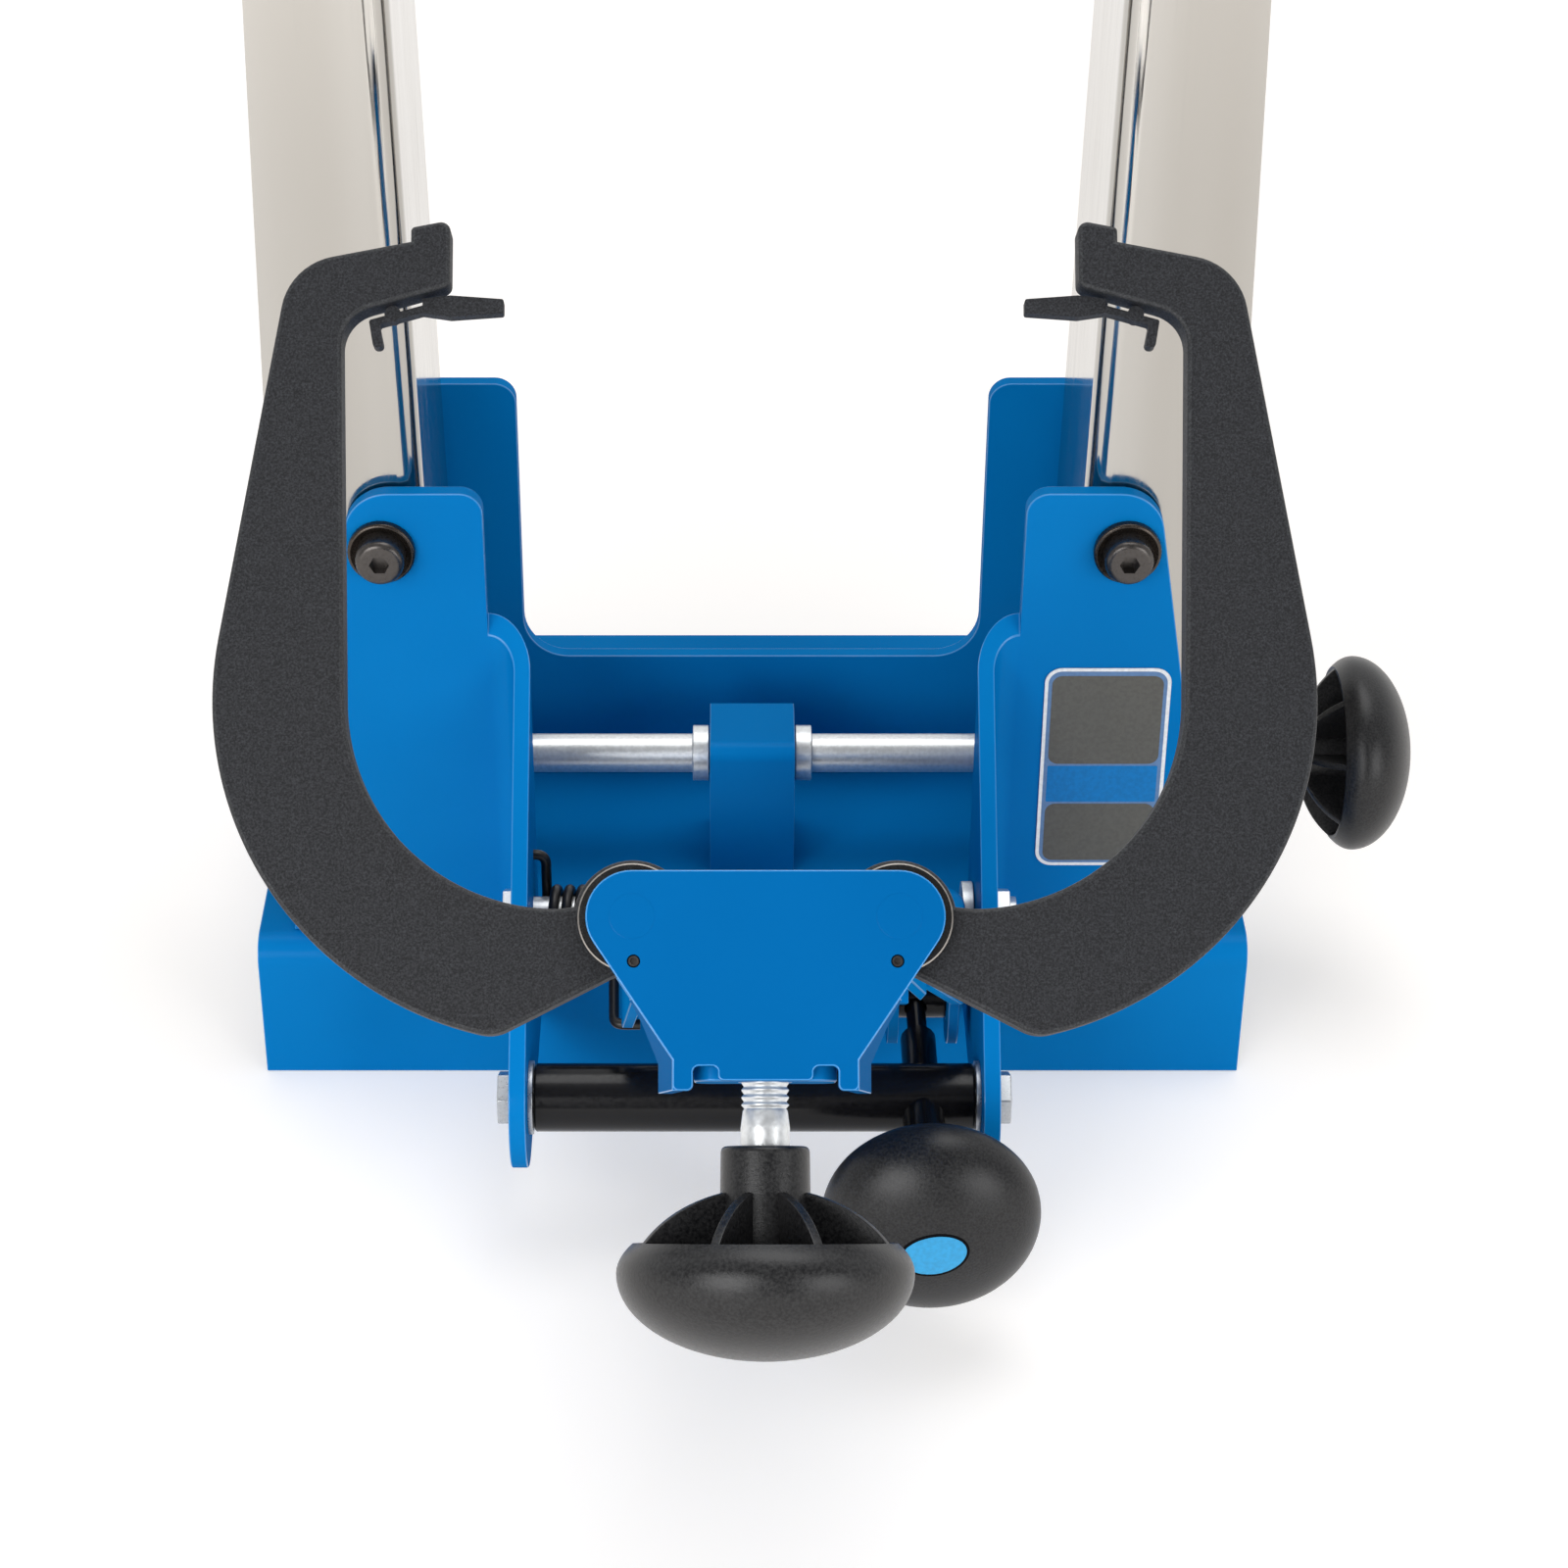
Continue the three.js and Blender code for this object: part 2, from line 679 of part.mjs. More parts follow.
function makeBarrelNut() {
  const point = [barrelNutX, 0, spindleHeight];
  const shoulderFront = uprightFront + uprightSheet + runningGap;
  const shoulderRear = uprightRear - uprightSheet - runningGap;
  const body = turned('y', point, [
    [0, uprightFront + runningGap],
    [barrelTrunnionRadius, uprightFront + runningGap],
    [barrelTrunnionRadius, shoulderFront],
    [barrelNutRadius, shoulderFront],
    [barrelNutRadius, shoulderRear],
    [barrelTrunnionRadius, shoulderRear],
    [barrelTrunnionRadius, uprightRear - runningGap],
    [0, uprightRear - runningGap],
  ]);
  const bore = rodAlong('x', [barrelNutX, axleY, spindleHeight], spindleRadius + runningGap,
    -barrelNutRadius - cutOverrun, barrelNutRadius + cutOverrun);
  return cut(body, bore);
}

function makeSpindle() {
  const collarInner = bearingWidth * halfShare + runningGap;
  const collarOuter = collarInner + collarWidth;
  const right = sideKnobRingX - knobNeckEnd + knobBoreDepth - seatGap;
  return turned('x', [0, axleY, spindleHeight], [
    [0, -spindleLeftEnd],
    [spindleRadius, -spindleLeftEnd],
    [spindleRadius, -collarOuter],
    [collarRadius, -collarOuter],
    [collarRadius, -collarInner],
    [spindleRadius, -collarInner],
    [spindleRadius, collarInner],
    [collarRadius, collarInner],
    [collarRadius, collarOuter],
    [spindleRadius, collarOuter],
    [spindleRadius, right],
    [0, right],
  ]);
}

function makeSpindleBearing() {
  const half = bearingWidth * halfShare;
  const front = axleY - bearingDepth * halfShare;
  const rear = axleY + bearingDepth * halfShare;
  const body = slabAlongX(roundedShape([
    [front, baseHeight, 0],
    [rear, baseHeight, 0],
    [rear, bearingTop, bearingFillet],
    [front, bearingTop, bearingFillet],
  ]), -half, half);
  const bore = rodAlong('x', [0, axleY, spindleHeight], spindleRadius + runningGap,
    -half - cutOverrun, half + cutOverrun);
  return cut(body, bore);
}

// Knob drawn along +z from its widest ring: dome below, ribbed skirt and neck above

function makeKnob(boreRadius) {
  const domeProfile = Array.from({ length: knobDomeSteps }, (_, i) => {
    const angle = Math.PI * halfShare * (i / knobDomeSteps - 1);
    return [knobRadius * Math.cos(angle), knobDome * Math.sin(angle)];
  });
  domeProfile[0][0] = 0;
  const skirt = [
    ...domeProfile,
    [knobRadius, 0],
    [knobRimRadius, knobRimRise],
    [knobRimRadius - knobRimLip, knobRimRise],
    [knobRimRadius - knobRimLip - knobRimRise * halfShare, knobPocketFloor],
    [knobNeckRadius, knobPocketFloor],
    [knobNeckRadius, knobNeckEnd - knobNeckChamfer],
    [knobNeckRadius - knobNeckChamfer, knobNeckEnd],
    [0, knobNeckEnd],
  ];
  const cap = turned('z', [0, 0, 0], skirt, knobSideSteps);
  const middleX = (knobRimRadius + knobNeckRadius) * halfShare;
  const middleZ = (knobRimRise + knobShoulder) * halfShare;
  const rib = roundedShape([
    [0, 0, 0],
    [knobRimRadius - knobRimLip * halfShare, 0, 0],
    [knobRimRadius - knobRimLip * halfShare, knobRimRise - seatGap, 0],
    [middleX * knobRibBulgeShare, middleZ * knobRibBulgeShare, 0],
    [knobNeckRadius * halfShare, knobShoulder, 0],
    [0, knobShoulder, 0],
  ]);
  const half = knobRibThickness * halfShare;
  const ribs = Array.from({ length: knobRibCount }, (_, i) => {
    const slab = slabAlongY(rib, -half, half);
    return slab.rotateZ((i + halfShare) * Math.PI * 2 / knobRibCount);
  });
  const bore = rodAlong('z', [0, 0, 0], boreRadius, knobNeckEnd - knobBoreDepth,
    knobNeckEnd + cutOverrun, smallSides);
  return cut(joined(cap, ...ribs), bore);
}

// Cross shaft and its end bolts

function makeCrossShaft() {
  const end = earInner - crossEndWasherThickness - seatGap;
  const body = rodAlong('x', [0, crossShaftY, crossShaftHeight], crossShaftRadius, -end, end);
  const screwHole = rodAlong('y', [heightScrewX, crossShaftY, crossShaftHeight],
    heightScrewThreadRadius + runningGap, -crossShaftRadius - cutOverrun, crossShaftRadius + cutOverrun, smallSides);
  const boltHoles = [-1, 1].map((side) => rodAlong('x', [side * end, crossShaftY, crossShaftHeight],
    crossBoltRadius + seatGap, -crossBoltDepth, crossBoltDepth, smallSides));
  return cut(body, screwHole, ...boltHoles);
}

function makeCrossWasher() {
  return tubeAlong('x', [0, crossShaftY, crossShaftHeight], crossEndWasherRadius,
    crossBoltRadius + seatGap, earInner - crossEndWasherThickness, earInner);
}

function makeCrossBolt() {
  const end = earInner - crossEndWasherThickness - crossBoltDepth + seatGap;
  const shank = rodAlong('x', [0, crossShaftY, crossShaftHeight], crossBoltRadius, end,
    earOuter + hexHeight * halfShare, smallSides);
  const head = hexAlong('x', [0, crossShaftY, crossShaftHeight], hexAcross, earOuter, earOuter + hexHeight);
  return joined(shank, head);
}

// Stalk, drawn along +z from its pivot with the web towards +y, then tilted into place

function ontoStalk(geometry) {
  return geometry.rotateX(stalkSlope).translate(0, stalkPivotY, stalkPivotHeight);
}

// An outline's points without those that repeat their neighbour
function distinctPoints(points) {
  return points.filter((p, i) => p.distanceTo(points[(i + 1) % points.length]) > pointTolerance);
}

// A channel whose section changes evenly from one end to the other
function loftedChannel(sectionAt, from, to) {
  const shapeRings = [from, to].map((z) => distinctPoints(sectionAt(z).getPoints(bendSteps)));
  const count = shapeRings[0].length;
  const positions = [];
  [from, to].forEach((z, ring) => shapeRings[ring].forEach((p) => positions.push(p.x, p.y, z)));
  const index = [];
  const caps = THREE.ShapeUtils.triangulateShape(shapeRings[0], []);
  for (const [a, b, c] of caps) {
    index.push(a, c, b);
    index.push(a + count, b + count, c + count);
  }
  for (let i = 0; i < count; i += 1) {
    const j = (i + 1) % count;
    index.push(i, j, j + count);
    index.push(i, j + count, i + count);
  }
  const geometry = new THREE.BufferGeometry();
  geometry.setAttribute('position', new THREE.BufferAttribute(new Float32Array(positions), 3));
  geometry.setIndex(index);
  return geometry;
}

const alongStalk = (atPivot, atHead, s) => {
  const share = (s - stalkTaperStart) / (stalkLength - stalkTaperStart);
  return atPivot + (atHead - atPivot) * share;
};

// A corner of the stalk's side outline, in (y, z) about its pivot, from its place along the stalk
// and its height over the line through the pivot
function stalkCorner(along, rise, radius = 0) {
  return [
    rise * Math.cos(stalkSlope) - along * Math.sin(stalkSlope),
    rise * Math.sin(stalkSlope) + along * Math.cos(stalkSlope),
    radius,
  ];
}

// The corners that both sides share: the web's rear end, its top, and the lower edge at the reach
function stalkUpperCorners(edge, reach) {
  const above = Math.max(stalkWebRise, stalkWebRiseAtHead) + cutOverrun;
  const [edgeStart, edgeRise] = edge;
  const share = (reach - edgeStart) / (stalkLength - edgeStart);
  return [
    stalkCorner(stalkWebStart, stalkWebRise - stalkSheet - stalkNotch),
    stalkCorner(stalkWebStart, above),
    stalkCorner(reach, above),
    stalkCorner(reach, edgeRise + (stalkEdgeRiseAtHead - edgeRise) * share),
    stalkCorner(edgeStart, edgeRise, stalkThroatRadius),
  ];
}

// The right side, with the lever that hangs down to the height screw
function stalkRightSide(reach) {
  const r = leverEndRadius;
  const foot = -leverLength - r;
  return roundedShape([
    [-r, foot, r],
    [r, foot, r],
    [r, -stalkLugRadius, 0],
    ...arcCorners(0, 0, stalkLugRadius, 0, quarterTurnDegrees, archSteps),
    ...stalkUpperCorners(stalkRightEdge, reach),
    [-r, -leverThroatDrop, stalkThroatRadius],
  ]);
}

function stalkLeftSide(reach) {
  return roundedShape([
    ...arcCorners(0, 0, stalkLugRadius, -quarterTurnDegrees, quarterTurnDegrees, archSteps),
    ...stalkUpperCorners(stalkLeftEdge, reach),
  ]);
}

function slabOnPivot(shape, from, to, steps) {
  return slabAlongX(shape, from, to, steps).translate(0, stalkPivotY, stalkPivotHeight);
}

// The lever's slot for the screw barrel's ends, long in the direction away from the pivot
function leverSlot(from, to) {
  const radius = heightBarrelTrunnionRadius + runningGap;
  return slabOnPivot(roundedShape([
    [-radius, -leverLength - heightBarrelAllowance - radius, radius],
    [radius, -leverLength - heightBarrelAllowance - radius, radius],
    [radius, -leverLength + radius, radius],
    [-radius, -leverLength + radius, radius],
  ]), from, to);
}

function makeStalk() {
  const depth = leverLength + leverEndRadius + stalkLoftDepth;

  const sectionAt = (s) => {
    const left = -alongStalk(stalkLeft, stalkHeadHalfWidth, Math.max(s, stalkTaperStart));
    const right = alongStalk(stalkRight, stalkHeadHalfWidth, Math.max(s, stalkTaperStart));
    const top = alongStalk(stalkWebRise, stalkWebRiseAtHead, Math.max(s, stalkTaperStart));
    return foldedShape([[right, -depth], [right, top], [left, top], [left, -depth]],
      stalkSheet, stalkBendInside);
  };
  const straight = loftedChannel(sectionAt, stalkLoftStart, stalkTaperStart);
  const tapered = loftedChannel(sectionAt, stalkTaperStart, stalkLength);
  const channel = ontoStalk(joined(straight, tapered));
  const wide = stalkRight + cutOverrun;
  const beyond = stalkLength + cutOverrun;

  const sides = joined(
    slabOnPivot(stalkLeftSide(beyond), -wide, clevisInner, cornerSteps),
    slabOnPivot(stalkRightSide(beyond), 0, wide, cornerSteps),
  );
  const webOverPivot = ontoStalk(block(
    [stalkBend - stalkLeft, stalkWebRise - stalkSheet - stalkNotch, stalkLoftStart - cutOverrun],
    [stalkRight - stalkBend, stalkWebRise + cutOverrun, stalkWebStart + seatGap],
  ));
  const folded = cut(common(channel, sides), webOverPivot);
  const shaft = rodAlong('x', [0, stalkPivotY, stalkPivotHeight], pivotShaftRadius + runningGap, -wide, wide);
  const behindHead = onHeadGeometry(block(
    [-wide, -wide, -housingHalfDepth - seatGap],
    [wide, stalkLength, stalkLength],
  ));
  return cut(folded, shaft, leverSlot(clevisInner + clevisPlate, wide), behindHead);
}

function makeClevisPlate() {
  const low = clevisInner - clevisPlate;
  const side = slabOnPivot(stalkRightSide(clevisEnd), low, clevisInner, cornerSteps);
  const underWeb = ontoStalk(block(
    [low - cutOverrun, stalkWebRise - stalkSheet - seatGap, stalkWebStart - seatGap],
    [clevisInner + cutOverrun, stalkLength, stalkLength],
  ));
  const tube = rodAlong('x', [0, stalkPivotY, stalkPivotHeight], stalkTubeRadius + seatGap,
    low - cutOverrun, clevisInner + cutOverrun);
  return cut(side, underWeb, tube, leverSlot(low - cutOverrun, clevisInner + cutOverrun));
}

function makePivotTube() {
  return tubeAlong('x', [0, stalkPivotY, stalkPivotHeight], stalkTubeRadius,
    pivotShaftRadius + runningGap, -stalkLeft + stalkBend + seatGap, stalkRight - stalkBend - seatGap);
}

function makePivotShaft() {
  const headEnd = earOuter + hexHeight;
  const tail = earOuter + pivotEndWasherThickness + hexHeight + pivotShaftTail;
  const shank = rodAlong('x', [0, stalkPivotY, stalkPivotHeight], pivotShaftRadius, -earOuter - seatGap, tail);
  const head = hexAlong('x', [0, stalkPivotY, stalkPivotHeight], pivotEndNutAcross, -headEnd, -earOuter);
  return joined(shank, head);
}

function makePivotShaftNut() {
  const inner = earOuter + pivotEndWasherThickness;
  return cut(
    hexAlong('x', [0, stalkPivotY, stalkPivotHeight], pivotEndNutAcross, inner, inner + hexHeight),
    rodAlong('x', [0, stalkPivotY, stalkPivotHeight], pivotShaftRadius + seatGap, inner - cutOverrun,
      inner + hexHeight + cutOverrun),
  );
}

function makePivotShaftWasher(from, to) {
  return tubeAlong('x', [0, stalkPivotY, stalkPivotHeight], pivotEndWasherRadius,
    pivotShaftRadius + seatGap, from, to);
}

// Torsion spring: one wire with both legs

// A bent wire's points, each inner corner softened over the given reach
function softened(corners, reach, steps) {
  return corners.flatMap((corner, i) => {
    if (i === 0 || i === corners.length - 1) return [corner];
    const before = corners[i - 1].clone().sub(corner).setLength(reach).add(corner);
    const after = corners[i + 1].clone().sub(corner).setLength(reach).add(corner);
    return new THREE.QuadraticBezierCurve3(before, corner, after).getPoints(steps);
  });
}

function springPath() {
  const steps = Math.round(springCurls * springStepsPerCurl);
  const onCoil = (i) => {
    const angle = Math.PI * 2 * i / springStepsPerCurl;
    return new THREE.Vector3(
      springStartX + springPitch * i / springStepsPerCurl,
      stalkPivotY + springMeanRadius * Math.cos(angle),
      stalkPivotHeight - springMeanRadius * Math.sin(angle),
    );
  };
  const coil = Array.from({ length: steps + 1 }, (_, i) => onCoil(i));
  const first = coil[0];
  const last = coil[steps];
  const earLeg = softened([
    new THREE.Vector3(-earOuter + springWire * halfShare, first.y, first.z + springEarRise),
    new THREE.Vector3(first.x, first.y, first.z + springEarRise),
    new THREE.Vector3(first.x, first.y, first.z + springWire),
  ], springBend, springBendSteps);
  const legX = -stalkLeft - springWire * halfShare - seatGap;
  const legY = last.y - springLegForward;
  const legZ = last.z - springLegDrop;
  const stalkLeg = softened([
    new THREE.Vector3(last.x, last.y - springWire, last.z),
    new THREE.Vector3(legX, legY, legZ),
    new THREE.Vector3(legX + springHookReach, legY, legZ),
  ], springBend, springBendSteps);
  return [...earLeg, ...coil, ...stalkLeg];
}

// The least gap between two parts of one wire that lie further apart along it than its own turn
function leastGapToItself(points, wire) {
  const runs = points.map(() => 0);
  for (let i = 1; i < points.length; i += 1) runs[i] = runs[i - 1] + points[i].distanceTo(points[i - 1]);
  const apart = Math.PI * springMeanRadius;
  let least = Infinity;
  for (let i = 0; i < points.length; i += 1) {
    for (let j = i + 1; j + 1 < points.length; j += 1) {
      if (runs[j] - runs[i] < apart) continue;
      const line = new THREE.Line3(points[j], points[j + 1]);
      const near = line.closestPointToPoint(points[i], true, new THREE.Vector3());
      least = Math.min(least, near.distanceTo(points[i]) - wire);
    }
  }
  return least;
}

function makeSpring() {
  const path = springPath();
  const gap = leastGapToItself(path, springWire);
  console.log(`least gap of the torsion spring to itself: ${gap.toFixed(2)} mm`);
  if (gap < springLeastGap) throw new Error('the torsion spring comes too near itself');
  return tubeThrough(path, springWire * halfShare, springSides);
}

// A closed tube whose rings stand at the given points
function tubeThrough(points, radius, sides) {
  const tangents = points.map((p, i) => {
    const ahead = points[Math.min(i + 1, points.length - 1)];
    const back = points[Math.max(i - 1, 0)];
    return ahead.clone().sub(back).normalize();
  });
  let normal = new THREE.Vector3(1, 0, 0);
  const positions = [];
  points.forEach((p, i) => {
    normal = normal.clone().addScaledVector(tangents[i], -normal.dot(tangents[i])).normalize();
    const side = tangents[i].clone().cross(normal);
    for (let k = 0; k < sides; k += 1) {
      const angle = Math.PI * 2 * k / sides;
      const out = p.clone()
        .addScaledVector(normal, radius * Math.cos(angle))
        .addScaledVector(side, radius * Math.sin(angle));
      positions.push(out.x, out.y, out.z);
    }
  });
  const index = [];
  for (let i = 0; i + 1 < points.length; i += 1) {
    for (let k = 0; k < sides; k += 1) {
      const a = i * sides + k;
      const b = i * sides + (k + 1) % sides;
      index.push(a, b, b + sides);
      index.push(a, b + sides, a + sides);
    }
  }
  const lastRing = (points.length - 1) * sides;
  for (let k = 1; k + 1 < sides; k += 1) {
    index.push(0, k + 1, k);
    index.push(lastRing, lastRing + k, lastRing + k + 1);
  }
  const geometry = new THREE.BufferGeometry();
  geometry.setAttribute('position', new THREE.BufferAttribute(new Float32Array(positions), 3));
  geometry.setIndex(index);
  geometry.computeVertexNormals();
  return geometry;
}

// Height adjuster

function makeHeightBarrel() {
  const inner = clevisInner + runningGap;
  const outer = stalkRight - stalkSheet - runningGap;
  const point = [0, stalkPivotY, crossShaftHeight];
  const body = turned('x', point, [
    [0, clevisInner - clevisPlate + runningGap],
    [heightBarrelTrunnionRadius, clevisInner - clevisPlate + runningGap],
    [heightBarrelTrunnionRadius, inner],
    [heightBarrelRadius, inner],
    [heightBarrelRadius, outer],
    [heightBarrelTrunnionRadius, outer],
    [heightBarrelTrunnionRadius, stalkRight - runningGap],
    [0, stalkRight - runningGap],
  ]);
  const bore = rodAlong('y', [heightScrewX, stalkPivotY, crossShaftHeight],
    heightScrewJournalRadius + runningGap, -heightBarrelRadius - cutOverrun,
    heightBarrelRadius + cutOverrun, smallSides);
  return cut(body, bore);
}

function makeHeightScrew() {
  const start = knobFrontEnd() - knobBoreDepth + seatGap;
  const threadEnd = crossShaftY + heightScrewThreadEnd;
  const shoulder = stalkPivotY - heightScrewNeckLength;
  const clip = stalkPivotY + heightBarrelRadius + runningGap;
  return turned('y', [heightScrewX, 0, crossShaftHeight], [
    [0, start],
    [heightScrewThreadRadius, start],
    [heightScrewThreadRadius, threadEnd],
    [heightScrewRadius, threadEnd],
    [heightScrewRadius, shoulder],
    [heightScrewJournalRadius, shoulder],
    [heightScrewJournalRadius, clip],
    [heightScrewClipRadius, clip],
    [heightScrewClipRadius, clip + heightScrewClip],
    [0, clip + heightScrewClip],
  ], smallSides);
}

// Where the height knob's neck ends
function knobFrontEnd() {
  return baseFront - heightKnobForward + knobNeckEnd;
}

// Caliper head

function onHeadGeometry(geometry) {
  return geometry.rotateX(THREE.MathUtils.degToRad(headTurnDegrees))
    .translate(0, headY, headZ);
}

function housingHalf(withTabs) {
  const lean = new THREE.Vector2(caliperPivotX - housingFootHalfWidth, caliperPivotRise - housingFootRise);
  const angle = lean.angle() - Math.asin(housingShoulderRadius / lean.length());
  const topX = housingFootHalfWidth + (housingTop - housingFootRise) / Math.tan(angle);
  const upper = [[topX, housingTop, housingShoulderRadius], [housingFootHalfWidth, housingFootRise, 0]];
  if (!withTabs) return upper;
  return [
    ...upper,
    [housingFootHalfWidth, housingTabEnd, housingTabCorner],
    [housingTabInner, housingTabEnd, housingTabCorner],
    [housingTabInner, housingFootRise - housingTabCorner, housingTabCorner],
    [housingCentreTabHalfWidth, housingFootRise - housingTabCorner, housingTabCorner],
    [housingCentreTabHalfWidth, housingCentreTabEnd, housingTabCorner],
  ];
}

function housingShape(withTabs) {
  const half = housingHalf(withTabs);
  return roundedShape([...half, ...half.map(([x, y, r]) => [-x, y, r]).reverse()]);
}

function makeHousingFront() {
  const face = housingHalfDepth - housingSheet;
  const plate = slabAlongZ(housingShape(true), face, housingHalfDepth);
  const flange = slabAlongZ(roundedShape([
    [housingFootHalfWidth, housingFootRise, 0],
    [flangeTopX(), housingFlangeTopRise, 0],
    [flangeTopX() - housingSheet, housingFlangeTopRise, 0],
    [housingFootHalfWidth - housingSheet, housingFootRise, 0],
    [housingFootHalfWidth - housingSheet, housingTabEnd, 0],
    [housingFootHalfWidth, housingTabEnd, 0],
  ]), -face + runningGap, housingHalfDepth - housingTabCorner * halfShare);
  const flare = new THREE.Matrix4().makeTranslation(housingFlangeFlareShare * housingHalfDepth, 0, 0)
    .multiply(new THREE.Matrix4().makeShear(0, 0, 0, 0, -housingFlangeFlareShare, 0));
  flange.applyMatrix4(flare);
  return joined(plate, flange, mirroredX(flange));
}

// Where the slanted side of the housing stands at the top of its flange
function flangeTopX() {
  const lean = new THREE.Vector2(caliperPivotX - housingFootHalfWidth, caliperPivotRise - housingFootRise);
  const angle = lean.angle() - Math.asin(housingShoulderRadius / lean.length());
  return housingFootHalfWidth + (housingFlangeTopRise - housingFootRise) / Math.tan(angle);
}

function makeHousingBack() {
  return slabAlongZ(housingShape(false), -housingHalfDepth, housingSheet - housingHalfDepth);
}

function makeScrewPlate() {
  const depth = housingHalfDepth - housingSheet - seatGap;
  const plate = slabAlongY(roundedShape([
    [-screwPlateHalfWidth, -depth, screwPlateCorner],
    [screwPlateHalfWidth, -depth, screwPlateCorner],
    [screwPlateHalfWidth, depth, screwPlateCorner],
    [-screwPlateHalfWidth, depth, screwPlateCorner],
  ]), housingCentreTabEnd, housingCentreTabEnd + screwPlateThickness);
  const bore = rodAlong('y', [0, 0, 0], caliperScrewRadius + runningGap,
    housingCentreTabEnd - cutOverrun, housingCentreTabEnd + screwPlateThickness + cutOverrun);
  return cut(plate, bore);
}

function makeCaliperPin() {
  const reach = housingHalfDepth - housingSheet - seatGap;
  return rodAlong('z', [caliperPivotX, caliperPivotRise, 0], caliperPinRadius, -reach, reach);
}

function makeCaliperWasher(side) {
  const inner = armThickness * halfShare + runningGap;
  const outer = housingHalfDepth - housingSheet - seatGap;
  return tubeAlong('z', [caliperPivotX, caliperPivotRise, 0], washerRadius, caliperPinRadius + seatGap,
    Math.min(side * inner, side * outer), Math.max(side * inner, side * outer), smallSides);
}

// Arm outline from the shoulder down the outer side, round the heel and back up the inner side
function armShape() {
  const topSlope = (armShoulderRise - armEndTop) / (armShoulderX - armEndX);
  const armStepTop = armEndTop + (armStepX - armEndX) * topSlope;
  const hub = arcCorners(caliperPivotX, caliperPivotRise, armHubRadius, ...armHubBelowDegrees, hubSteps);
  const hubBack = arcCorners(caliperPivotX, caliperPivotRise, armHubRadius, ...armHubAboveDegrees, hubSteps);
  return roundedShape([
    [armEndX, armEndTop + armStepRise, armCornerRadius],
    [armStepX, armStepTop + armStepRise, 0],
    [armStepX, armStepTop, 0],
    [armShoulderX, armShoulderRise, armShoulderRadius],
    ...arcCorners(armArcX, armArcRise, armOuterRadius, armOuterLeanDegrees, armHeelArcEndDegrees, sweepSteps),
    [armHeelX, armHeelRise, armHeelRadius],
    ...hub,
    [armLugTipX, caliperPivotRise - armLugHalfWidth, 0],
    [armLugTipX, caliperPivotRise + armLugHalfWidth, 0],
    ...hubBack,
    ...arcCorners(armArcX, armArcRise, armInnerRadius, -quarterTurnDegrees, 0, sweepSteps),
    [armInnerCornerX, armInnerCornerRise, armInnerCornerRadius],
    [armEndX, armEndBottom, armCornerRadius],
  ]);
}

function makeArm() {
  const half = armThickness * halfShare;
  const plate = new THREE.ExtrudeGeometry(armShape(), {
    depth: armThickness - armSoftEdge * 2,
    bevelEnabled: true,
    bevelThickness: armSoftEdge,
    bevelSize: armSoftEdge,
    bevelOffset: -armSoftEdge,
    bevelSegments: 1,
    curveSegments: cornerSteps,
  }).translate(0, 0, armSoftEdge - half);
  const tip = rodAlong('z', [armLugTipX, caliperPivotRise, 0], armLugTipRadius, -half, half, smallSides);
  const bore = rodAlong('z', [caliperPivotX, caliperPivotRise, 0], caliperPinRadius + runningGap,
    -half - cutOverrun, half + cutOverrun);
  return cut(joined(plate, tip), bore);
}

// The arm's lower edge at its end, where the feeler sits
const armEndSlope = (armInnerCornerRise - armEndBottom) / (armInnerCornerX - armEndX);
const underArm = (x) => armEndBottom + (x - armEndX) * armEndSlope - seatGap;

function makeTip() {
  const half = tipThickness * halfShare;
  const barTop = (x) => underArm(x) - tipHumpRadius;
  const noseTop = underArm(armEndX) - tipSag;
  const hookBottom = barTop(tipOuterX) - tipBarHeight - tipHookDrop;
  const hookInner = tipOuterX - tipHookWidth;
  const bar = slabAlongZ(roundedShape([
    [tipInnerX, noseTop - tipBarHeight * halfShare, tipSoftEdge],
    [tipInnerX, noseTop - tipNoseHeight + tipBarHeight * halfShare, tipSoftEdge],
    [armEndX, noseTop - tipNoseHeight, tipSoftEdge],
    [tipBarStartX, barTop(tipBarStartX) - tipBarHeight, 0],
    [hookInner, barTop(hookInner) - tipBarHeight, tipSoftEdge],
    [hookInner - tipHookLean, hookBottom, tipHookWidth * halfShare - seatGap * halfShare],
    [tipOuterX - tipHookLean, hookBottom, tipHookWidth * halfShare - seatGap * halfShare],
    [tipOuterX, barTop(tipOuterX), tipSoftEdge],
    [tipBarStartX, barTop(tipBarStartX), 0],
    [tipBarStartX, underArm(tipBarStartX) - seatGap, tipSoftEdge * halfShare],
    [armEndX, noseTop, 0],
  ]), -half, half, bendSteps);
  const hump = rodAlong('z', [tipHumpX, barTop(tipHumpX), 0], tipHumpRadius, -half, half, smallSides);
  return joined(bar, hump);
}

// Spool that swings both arms, and its screw

function makeSpool() {
  const top = caliperPivotRise + spoolGroove * halfShare + spoolFlange;
  const bottom = caliperPivotRise - spoolGroove * halfShare - spoolFlange;
  const body = turned('y', [0, 0, 0], [
    [spoolBoreRadius, bottom],
    [spoolFlangeRadius, bottom],
    [spoolFlangeRadius, bottom + spoolFlange],
    [spoolCoreRadius, bottom + spoolFlange],
    [spoolCoreRadius, top - spoolFlange],
    [spoolFlangeRadius, top - spoolFlange],
    [spoolFlangeRadius, top],
    [spoolBoreRadius, top],
    [spoolBoreRadius, bottom],
  ]);
  const depth = housingHalfDepth - housingSheet - runningGap;
  const reach = spoolFlangeRadius + cutOverrun;
  return common(body, block([-reach, bottom - cutOverrun, -depth], [reach, top + cutOverrun, depth]));
}

